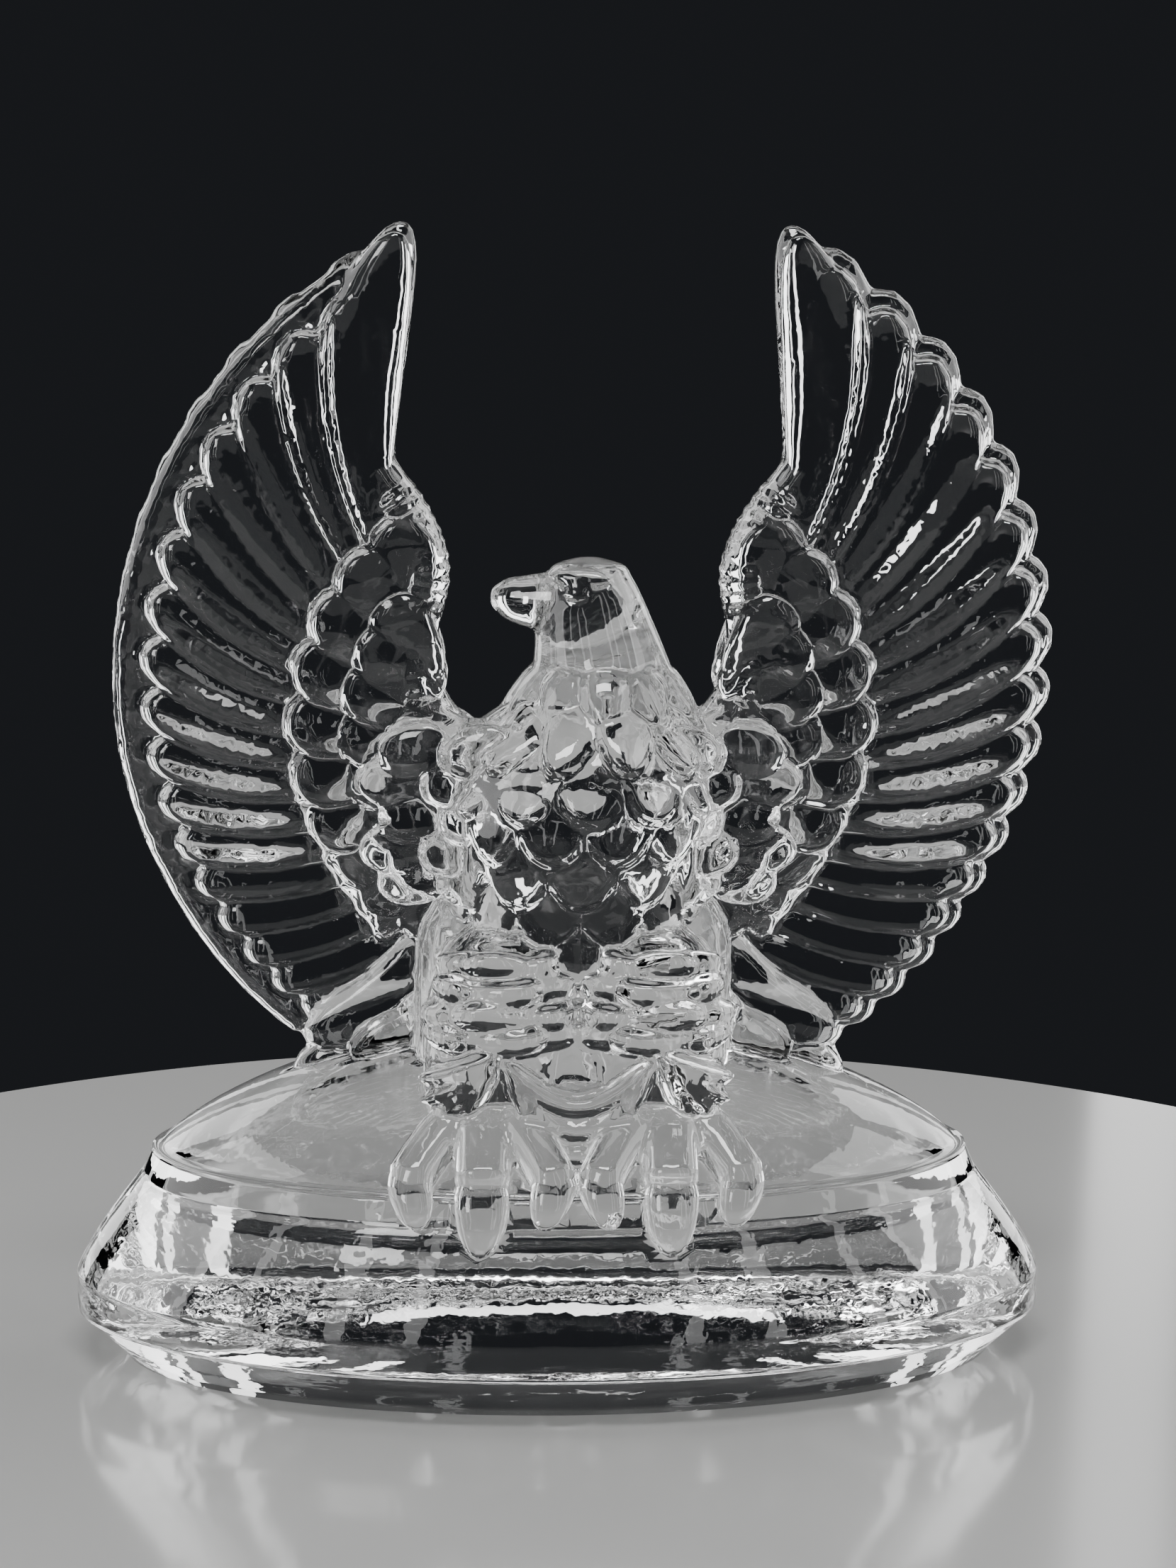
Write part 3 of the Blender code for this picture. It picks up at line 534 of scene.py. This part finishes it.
def coverts(bm, side, face_side):
    """Rows of rounded small feathers on a bed that hides the roots of the flight feathers."""
    front_extra = COVERT_FRONT_LIFT if face_side > 0 else 0.0
    bed_lift = front_extra * face_side
    blade(bm, side, COVERT_BED, bed_lift, COVERT_BED_WIDTH, COVERT_BED_THICKNESS, blunt=0.3)
    for count, (scale, first, last, lift) in zip(COVERT_COUNTS, COVERT_ROWS):
        for k in range(count):
            angle = first + (last - first) * k / (count - 1)
            tip = covert_edge(angle, scale)
            x, z, spread = COVERT_SOURCE
            source = np.array([x, z + spread * math.sin(math.radians(angle))])
            root = tip + unit(source - tip) * COVERT_LENGTH
            high = lift + front_extra
            start = wing_point(side, root[0], root[1], (high - COVERT_RISE) * face_side)
            end = wing_point(side, tip[0], tip[1], high * face_side)
            leaf = (COVERT_WIDTH * (0.8 + 0.2 * scale), COVERT_THICKNESS)
            petal(bm, start, end, (0, -face_side, 0), *leaf, blunt=0.34, power=COVERT_SQUARENESS)


def shoulder_point(side, x, z, lift):
    """Point on the slope from the chest to the wing; it falls back below the upper row."""
    back = SHOULDER_SLOPE * (x - SHOULDER_COLUMNS[0]) + SHOULDER_RECESS * (SHOULDER_ROWS[0] - z)
    return np.array([BIRD_X + side * x, SHOULDER_Y + back - lift, z])


def shoulder(bm, side):
    """Chest carried over into the wing, with short feathers that point outwards."""
    for (x1, y1, z1), (x2, y2, z2), width, thick in SHOULDER_BEDS:
        start = (BIRD_X + side * x1, y1, z1)
        end = (BIRD_X + side * x2, y2, z2)
        petal(bm, start, end, (side * 0.3, -1, 0), width, thick, blunt=0.35)
    length, width, thick = SHOULDER_FEATHER
    for row, z in enumerate(SHOULDER_ROWS):
        for x in SHOULDER_COLUMNS:
            x += SHOULDER_STEP * (row % 2)
            start = shoulder_point(side, x, z + 0.8, -1.0)
            end = shoulder_point(side, x + length, z - 0.8, 0.8)
            petal(bm, start, end, (side * 0.3, -1, 0), width, thick, blunt=0.5, power=2.6)


def arm(bm, side):
    """Thick leading edge of the wing, from the shoulder over the wrist to the hand."""
    rings = []
    for i in range(19):
        x, z, wide, deep = through(ARM, i / 18)
        ahead = through(ARM, i / 18 + 0.02)[:2] - through(ARM, i / 18 - 0.02)[:2]
        across = unit(np.array([side * ahead[1], 0.0, -ahead[0]]))
        centre = wing_point(side, x, z, ARM_LIFT)
        rings.append(oval(centre, across * wide, np.array([0.0, deep, 0.0]), 12))
    loft(bm, rings)


def torso_point(angle, z, lift=0.0):
    """Point on the body at this height; angle 0 faces the viewer and grows to the right."""
    centre, half, front, back = through(TORSO, z)
    a = math.radians(angle)
    depth = front if math.cos(a) > 0 else back
    middle = (front + back) / 2
    reach = abs(depth - middle) + lift
    return np.array(
        [BIRD_X + centre + (half + lift) * math.sin(a), middle - reach * math.cos(a), z]
    )


def torso(bm):
    """Body, neck and head as one skin."""
    rings = []
    low, high = TORSO[0][0], TORSO[-1][0]
    for i in range(TORSO_STEPS + 1):
        z = low + (high - low) * math.sin(math.pi / 2 * i / TORSO_STEPS)
        rings.append([torso_point(360.0 * k / TORSO_SIDES, z) for k in range(TORSO_SIDES)])
    loft(bm, rings)


def breast(bm):
    """Overlapping pointed feathers round the chest and the back of the body."""
    for row, (count, (z, length)) in enumerate(zip(BREAST_COUNTS, BREAST_ROWS)):
        for k in range(count):
            angle = 360.0 * (k + 0.5 * (row % 2)) / count
            top = torso_point(angle, z + length * 0.55, -BREAST_SINK)
            low = torso_point(angle, z - length * 0.45, BREAST_LIFT)
            out = torso_point(angle, z, 5.0) - torso_point(angle, z, 0.0)
            half = through(TORSO, z)[1]
            width = 2.0 * math.pi * half / count * BREAST_OVERLAP
            petal(bm, top, low, out, width, BREAST_THICKNESS, blunt=0.75, power=2.0)


def leg_point(side, u, z, lift=0.0):
    """Point on a leg's skin; u runs from -1 at its inner side over the front to 1 outside."""
    v = min(0.985, abs(z - LEG_Z) / LEG_HALF_HEIGHT)
    shrink = (1.0 - v**LEG_SQUARENESS) ** (1.0 / LEG_SQUARENESS)
    a = math.radians(90.0 * u)
    out = math.copysign(abs(math.sin(a)) ** LEG_ROUNDNESS, math.sin(a))
    front = math.copysign(abs(math.cos(a)) ** LEG_ROUNDNESS, math.cos(a))
    flare = LEG_FLARE * (LEG_Z - z) / LEG_HALF_HEIGHT
    reach = np.array([LEG_HALF_WIDTH * shrink + flare + lift, LEG_HALF_DEPTH * shrink + lift])
    return np.array([BIRD_X + side * (LEG_X + reach[0] * out), LEG_Y - reach[1] * front, z])


def belly(bm):
    """Soft mass that joins the legs, and the swags of feathers that hang between them."""
    low, high = (BIRD_X, LEG_Y, DRAWN_RIM), (BIRD_X, LEG_Y, BELLY_TOP)
    petal(bm, low, high, (0, -1, 0), BELLY_WIDTH, BELLY_THICKNESS, sides=14, blunt=0.4)
    for low in SWAGS:
        ends = [(BIRD_X + side * SWAG_X, SWAG_Y, LOCK_TOP - 0.5) for side in (-1, 1)]
        middle = (BIRD_X, SWAG_Y - 0.8, 2.0 * low - LOCK_TOP + 0.5)
        petal(bm, *ends, (0, -1, 0.2), *SWAG_LEAF, control=middle, blunt=0.3, steps=16)


def thigh(bm, side):
    """One feathered leg with short feathers above, long locks below and a smooth flank."""
    x, y, low, high, width, thick = FLANK
    ends = [(BIRD_X + side * x, y, low), (BIRD_X + side * x, y, high)]
    petal(bm, *ends, (0, -1, 0), width, thick, sides=12, blunt=0.3)
    rings = []
    for i in range(LEG_STEPS + 1):
        z = LEG_Z - LEG_HALF_HEIGHT * 0.985 * math.cos(math.pi * i / LEG_STEPS)
        rings.append([leg_point(side, 4.0 * k / LEG_SIDES, z) for k in range(LEG_SIDES)])
    loft(bm, rings)
    for row, z in enumerate(LEG_RIDGES):
        for column, (first, last) in enumerate(RIDGE_SPANS):
            wave = RIDGE_WAVE * (-1) ** (row + column)
            centre = (first + last) / 2 + 0.12 * (-1) ** row
            start = leg_point(side, first, z + wave, -0.6)
            middle = leg_point(side, centre, z - 1.4 * wave, RIDGE_LIFT)
            end = leg_point(side, last, z + 0.4 * wave, -0.2)
            out = leg_point(side, centre, z, 5.0) - leg_point(side, centre, z)
            petal(bm, start, end, out, *RIDGE_LEAF, control=middle, blunt=0.5)
    for u, low in LOCKS:
        start = leg_point(side, 0.0, LOCK_TOP, 0.2)
        end = leg_point(side, u, low, 0.9)
        middle = leg_point(side, 0.3 * u, low + 0.35 * (LOCK_TOP - low), LOCK_LIFT)
        out = leg_point(side, 0.5 * u, LEG_Z, 5.0) - leg_point(side, 0.5 * u, LEG_Z)
        petal(bm, start, end, out, *LOCK_LEAF, control=middle, blunt=0.4, steps=8)


def rim_front(x):
    """Front of the plinth's rim at this x."""
    half_width = BASE_WIDTH / 2 - SHOULDER_INSET_X
    half_depth = BASE_DEPTH / 2 - SHOULDER_INSET_Y
    return -half_depth * math.sqrt(1.0 - (x / half_width) ** 2)


def foot(bm, side):
    """Three short toes that come from under the locks and grip the rim with their claws."""
    x0 = BIRD_X + side * FOOT_X
    for knuckle_x, tip_x, knuckle_z, tip_z, half in TOES:
        x1, x2 = x0 + side * knuckle_x, x0 + side * tip_x
        ankle = (x0 + side * knuckle_x * 0.25, ANKLE_Y, ANKLE_Z)
        arch = (x0 + side * knuckle_x * 0.7, rim_front(x1) + 4.0, knuckle_z + TOE_ARCH)
        knuckle = (x1, rim_front(x1) - 0.6, knuckle_z - 1.2)
        leaf = (2.2 * half, TOE_THICKNESS)
        petal(bm, ankle, knuckle, (0, -0.6, 1), *leaf, control=arch, blunt=0.12, power=2.8)
        top = (x1, rim_front(x1) + 2.2, knuckle_z + 1.2)
        bend = ((x1 + x2) / 2, rim_front(x1) - CLAW_BEND, (knuckle_z + tip_z) / 2 + 1.0)
        tip = (x2, rim_front(x2) - CLAW_OUT, tip_z)
        leaf = (2.2 * half, CLAW_THICKNESS)
        petal(bm, top, tip, (0, -1, 0.3), *leaf, control=bend, blunt=0.7, power=2.8, steps=8)


def face(bm):
    """Beak, brow ridges and eyes of a head that looks to the viewer's left."""
    rings = []
    for i in range(BEAK_STEPS + 1):
        x, z, high, deep = through(BEAK, i / BEAK_STEPS)
        middle = np.array([BIRD_X + x, HEAD_Y, z])
        rings.append(oval(middle, np.array([0, 0, high]), np.array([0, deep, 0]), BEAK_SIDES, 2.2))
    loft(bm, rings)
    for face_side in (-1, 1):
        y = HEAD_Y + face_side * FACE_HALF_DEPTH
        out = (0.0, face_side, 0.5)
        for form, taper in ((BROW, BROW_TAPER), (EYE, EYE_TAPER)):
            back_x, back_z, front_x, front_z, width, thick = form
            back = (BIRD_X + back_x, y, back_z)
            front = (BIRD_X + front_x, y - face_side * taper, front_z)
            petal(bm, back, front, out, width, thick)


def tail(bm):
    """Fan of tail feathers down the back on to the plinth."""
    for k in range(-TAIL_SIDE_FEATHERS, TAIL_SIDE_FEATHERS + 1):
        root = np.array([BIRD_X + k * TAIL_ROOT[0], TAIL_ROOT[1], TAIL_ROOT[2]])
        tip_y = TAIL_TIP[1] - abs(k) * TAIL_ROUNDING
        tip = np.array([BIRD_X + k * TAIL_TIP[0], tip_y, TAIL_TIP[2]])
        petal(bm, root, tip, (k * 0.12, 1.0, 0.3), *TAIL_LEAF, steps=8, blunt=0.18)


def bird():
    """All carved forms of the bird, melted into one skin by a voxel grid."""
    bm = bmesh.new()
    torso(bm)
    breast(bm)
    face(bm)
    tail(bm)
    belly(bm)
    for side in (1, -1):
        arm(bm, side)
        shoulder(bm, side)
        wing_root(bm, side)
        flight_feathers(bm, side)
        for face_side in (1, -1):
            coverts(bm, side, face_side)
        feather_ribs(bm, side)
        arm_ribs(bm, side)
        thigh(bm, side)
        foot(bm, side)
    rim_bead(bm, -1)
    size = (FIGURE_HEIGHT - RIM_HEIGHT) / (DRAWN_HEIGHT - DRAWN_RIM)
    slant = math.tan(math.radians(BIRD_TILT))
    for vert in bm.verts:
        above = (vert.co.z - DRAWN_RIM) * size
        vert.co = (vert.co.x * size + above * slant, vert.co.y * size, RIM_HEIGHT + above)
    loft(bm, plinth_rings(HIDDEN_INSET))
    obj = make_object("eagle_figurine", bm)
    melt = obj.modifiers.new("melt", "REMESH")
    melt.mode = "VOXEL"
    melt.voxel_size = VOXEL * MM
    melt.adaptivity = 0.0
    soften = obj.modifiers.new("soften", "SMOOTH")
    soften.factor = 0.5
    soften.iterations = 2
    return obj


def plinth_rings(shrink=0.0):
    """Rings of the plinth from the ground up: foot, chamfer, girth, shoulder, rim and mound."""
    a, b = BASE_WIDTH / 2 - shrink, BASE_DEPTH / 2 - shrink
    rings = []

    def ring(inset_x, inset_y, z):
        across = np.array([a - inset_x, 0.0, 0.0])
        deep = np.array([0.0, b - inset_y, 0.0])
        rings.append(oval(np.array([0.0, 0.0, z]), across, deep, BASE_SIDES))

    def edge(inset_x, inset_y, z, before, after):
        """Small round between the slopes before and after, each given as (outwards, up)."""
        for dx, dz in (before, (0.0, 0.0), after):
            ring(inset_x - dx * EDGE_ROUND, inset_y - dx * EDGE_ROUND, z + dz * EDGE_ROUND)

    ring(FOOT_INSET, FOOT_INSET, shrink)
    ring(CHAMFER_INSET, CHAMFER_INSET, CHAMFER_HEIGHT)
    edge(0.0, 0.0, GIRTH_BOTTOM, (-0.8, -0.6), (0.0, 1.0))
    edge(0.0, 0.0, GIRTH_TOP, (0.0, -1.0), (-0.2, 1.0))
    steps = SHOULDER_STEPS
    for i in range(1, steps):
        t = 0.05 + 0.95 * i / steps
        inset = t**SHOULDER_ROUNDNESS
        z = GIRTH_TOP + (SHOULDER_HEIGHT - GIRTH_TOP) * t
        ring(SHOULDER_INSET_X * inset, SHOULDER_INSET_Y * inset, z)
    edge(SHOULDER_INSET_X, SHOULDER_INSET_Y, SHOULDER_HEIGHT, (0.7, -0.7), (-0.2, 1.0))
    rim_x, rim_y = SHOULDER_INSET_X + RIM_INSET, SHOULDER_INSET_Y + RIM_INSET
    edge(rim_x, rim_y, RIM_HEIGHT - shrink, (0.2, -1.0), (-1.0, 0.1))
    steps = MOUND_STEPS
    for i in range(1, steps):
        r = math.cos(math.pi / 2 * i / steps)
        z = RIM_HEIGHT - shrink + MOUND_RISE * (1 - r * r) ** MOUND_ROUNDNESS
        inner_x = a - rim_x - 2.0 * EDGE_ROUND
        inner_y = b - rim_y - 2.0 * EDGE_ROUND
        ring(a - inner_x * r, b - inner_y * r, z)
    return rings


def base():
    """Oval plinth as an exact solid."""
    bm = bmesh.new()
    loft(bm, plinth_rings())
    return make_object("plinth", bm)


def skins_of(bm):
    """Vertex sets of the separate skins of a mesh, the largest last."""
    left = set(bm.verts)
    skins = []
    while left:
        skin = set()
        front = [left.pop()]
        while front:
            vert = front.pop()
            skin.add(vert)
            for edge in vert.link_edges:
                other = edge.other_vert(vert)
                if other in left:
                    left.remove(other)
                    front.append(other)
        skins.append(skin)
    return sorted(skins, key=len)


def bake(obj):
    """Apply the modifiers of obj and keep only its outer skin."""
    depsgraph = bpy.context.evaluated_depsgraph_get()
    bm = bmesh.new()
    bm.from_mesh(obj.evaluated_get(depsgraph).data)
    for skin in skins_of(bm)[:-1]:
        bmesh.ops.delete(bm, geom=list(skin), context="VERTS")
    obj.modifiers.clear()
    bm.to_mesh(obj.data)
    bm.free()


def make_object(name, bm):
    """Object from a bmesh that was drawn in millimetres."""
    mesh = bpy.data.meshes.new(name)
    bmesh.ops.scale(bm, vec=(MM, MM, MM), verts=bm.verts)
    bm.to_mesh(mesh)
    bm.free()
    obj = bpy.data.objects.new(name, mesh)
    bpy.context.scene.collection.objects.link(obj)
    return obj


def feather_ribs(bm, side):
    """Thin rib between two flight feathers, proud of them near the tip of the wing."""
    widths = np.linspace(1.0, FEATHER_NARROWING, FLIGHT_FEATHERS)
    borders = np.cumsum(widths / widths.sum())[:-1]
    for place in borders:
        tip = wing_edge(place)
        root = bezier(FEATHER_ROOTS, place**0.9)
        chord = tip - root
        length = np.linalg.norm(chord)
        outward = np.array([chord[1], -chord[0]]) * FEATHER_BEND
        path = [root, (root + tip) / 2 + outward * (1.0 - 0.3 * place), tip]
        reach = 1.0 - (WING_RIM_BAND[side] + RIB_GAP) / length
        lift = RIB_LIFT + TIP_RIB_RISE * (1.0 - smoothstep(place / TIP_RIB_UNTIL))
        leaf = (lift, RIB_WIDTH, RIB_THICKNESS)
        blade(bm, side, path, *leaf, reach=reach, blunt=RIB_BLUNT, steps=RIB_STEPS)


def arm_ribs(bm, side):
    """Fine ribs across the leading edge of a wing."""
    for k in range(ARM_RIBS):
        share = ARM_RIB_FROM + (ARM_RIB_TO - ARM_RIB_FROM) * k / (ARM_RIBS - 1)
        x, z, wide, deep = through(ARM, share)
        ahead = through(ARM, share + 0.02)[:2] - through(ARM, share - 0.02)[:2]
        along = unit(np.array([side * ahead[0], 0.0, ahead[1]]))
        across = unit(np.array([side * ahead[1], 0.0, -ahead[0]]))
        rings = []
        for step in (-1.0, -0.6, 0.0, 0.6, 1.0):
            swell = 1.0 + ARM_RIB_RISE / wide * (1.0 - step * step)
            centre = wing_point(side, x, z, ARM_LIFT) + along * step * ARM_RIB_WIDTH / 2
            out = across * wide * swell * ARM_RIB_ACROSS
            forth = np.array([0.0, deep * ARM_RIB_DEEP * swell, 0.0])
            rings.append(oval(centre, out, forth, ARM_RIB_SIDES))
        loft(bm, rings)


def casting():
    """The whole ornament as one closed skin."""
    plinth = base()
    eagle = bird()
    bake(eagle)
    thin = eagle.modifiers.new("thin", "DECIMATE")
    thin.ratio = BIRD_TRIANGLES / (2 * len(eagle.data.polygons))
    join = eagle.modifiers.new("stand", "BOOLEAN")
    join.operation = "UNION"
    join.object = plinth
    bake(eagle)
    bpy.data.objects.remove(plinth, do_unlink=True)
    eagle.name = "glass_eagle"
    for polygon in eagle.data.polygons:
        polygon.use_smooth = True
    return eagle


def node(material, kind, **inputs):
    """Add a shader node and set its plain inputs by name."""
    made = material.node_tree.nodes.new(kind)
    for name, value in inputs.items():
        made.inputs[name.replace("_", " ")].default_value = value
    return made


def glass():
    """Clear crystal: fire-polished, with the faint ripple and specks of pressed glass."""
    material = bpy.data.materials.new("clear_glass")
    material.use_nodes = True
    links = material.node_tree.links
    shader = material.node_tree.nodes["Principled BSDF"]
    shader.inputs["Base Color"].default_value = GLASS_TINT
    shader.inputs["Metallic"].default_value = 0.0
    shader.inputs["IOR"].default_value = GLASS_IOR
    shader.inputs["Transmission Weight"].default_value = 1.0
    place = node(material, "ShaderNodeTexCoord")
    ripple = node(material, "ShaderNodeTexNoise", Scale=RIPPLE_SCALE, Detail=3.0, Roughness=0.5)
    links.new(place.outputs["Object"], ripple.inputs["Vector"])
    haze = node(material, "ShaderNodeTexNoise", Scale=HAZE_SCALE, Detail=4.0, Roughness=0.7)
    links.new(place.outputs["Object"], haze.inputs["Vector"])
    spread = node(material, "ShaderNodeMapRange")
    spread.inputs["From Min"].default_value = HAZE_FROM
    spread.inputs["From Max"].default_value = HAZE_TO
    spread.inputs["To Min"].default_value = 0.0
    spread.inputs["To Max"].default_value = HAZE_ROUGHNESS
    links.new(haze.outputs["Fac"], spread.inputs["Value"])
    links.new(spread.outputs["Result"], shader.inputs["Roughness"])
    bump = node(material, "ShaderNodeBump", Strength=RIPPLE_STRENGTH, Distance=RIPPLE_DISTANCE)
    links.new(ripple.outputs["Fac"], bump.inputs["Height"])
    links.new(bump.outputs["Normal"], shader.inputs["Normal"])
    return material


def table_top():
    """Pale, slightly glossy round table top under the ornament."""
    bm = bmesh.new()
    rings = []
    for inset, z in TABLE_EDGE:
        radius = TABLE_RADIUS + inset
        across = Vector((radius, 0, 0))
        rings.append(oval(Vector((0.0, 0.0, z)), across, Vector((0, radius, 0)), TABLE_SIDES))
    loft(bm, rings)
    mesh = bpy.data.meshes.new("table_top")
    bm.to_mesh(mesh)
    bm.free()
    obj = bpy.data.objects.new("table_top", mesh)
    bpy.context.scene.collection.objects.link(obj)
    obj.location.z = -TABLE_GAP
    material = bpy.data.materials.new("pale_table")
    material.use_nodes = True
    shader = material.node_tree.nodes["Principled BSDF"]
    shader.inputs["Base Color"].default_value = TABLE_COLOUR
    shader.inputs["Roughness"].default_value = TABLE_ROUGHNESS
    obj.data.materials.append(material)


def area_light(name, place, size, power):
    """Soft rectangular light that looks at the middle of the ornament."""
    data = bpy.data.lights.new(name, "AREA")
    data.shape = "RECTANGLE"
    data.size, data.size_y = size
    data.energy = power
    obj = bpy.data.objects.new(name, data)
    obj.location = place
    obj.rotation_euler = (Vector(LOOK_AT) - Vector(place)).to_track_quat("-Z", "Y").to_euler()
    obj.visible_camera = False
    bpy.context.scene.collection.objects.link(obj)


def studio():
    """Soft boxes round the ornament and a dim even surround."""
    world = bpy.data.worlds.new("surround")
    world.use_nodes = True
    world.node_tree.nodes["Background"].inputs["Color"].default_value = SURROUND
    bpy.context.scene.world = world
    for name, place, size, power in SOFT_BOXES:
        area_light(name, place, size, power)
    for azimuth in STRIP_AZIMUTHS:
        a = math.radians(azimuth)
        place = (STRIP_DISTANCE * math.sin(a), STRIP_DISTANCE * math.cos(a), STRIP_Z)
        area_light("strip_%d" % azimuth, place, STRIP_SIZE, STRIP_POWER)


def camera():
    """Camera at the photograph's viewing angle, worked out from the plinth's rings."""
    data = bpy.data.cameras.new("photo_view")
    data.sensor_fit = "VERTICAL"
    data.sensor_height = FRAME_HEIGHT
    data.lens = LENS
    data.clip_start = NEAR_CLIP
    obj = bpy.data.objects.new("photo_view", data)
    yaw, pitch, roll = (math.radians(a) for a in (CAMERA_YAW, CAMERA_PITCH, CAMERA_ROLL))
    level = Vector((math.cos(yaw), -math.sin(yaw), 0.0))
    ahead = Vector((math.sin(yaw), math.cos(yaw), 0.0)) * math.cos(pitch)
    ahead.z = -math.sin(pitch)
    upright = level.cross(ahead)
    right = level * math.cos(roll) + upright * math.sin(roll)
    up = upright * math.cos(roll) - level * math.sin(roll)
    turn = Matrix((right, up, -ahead)).transposed().to_4x4()
    obj.matrix_world = Matrix.Translation(CAMERA_PLACE) @ turn
    bpy.context.scene.collection.objects.link(obj)
    bpy.context.scene.camera = obj


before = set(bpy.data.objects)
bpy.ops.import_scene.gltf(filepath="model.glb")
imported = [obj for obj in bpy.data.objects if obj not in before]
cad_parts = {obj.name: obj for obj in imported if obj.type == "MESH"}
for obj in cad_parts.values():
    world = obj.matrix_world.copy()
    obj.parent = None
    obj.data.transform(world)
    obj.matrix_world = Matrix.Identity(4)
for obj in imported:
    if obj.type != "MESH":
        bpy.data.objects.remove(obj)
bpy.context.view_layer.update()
eagle = casting()
eagle.data.materials.clear()
eagle.data.materials.append(glass())
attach(eagle, "root")
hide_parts("eagle_figurine")
table_top()
studio()
camera()
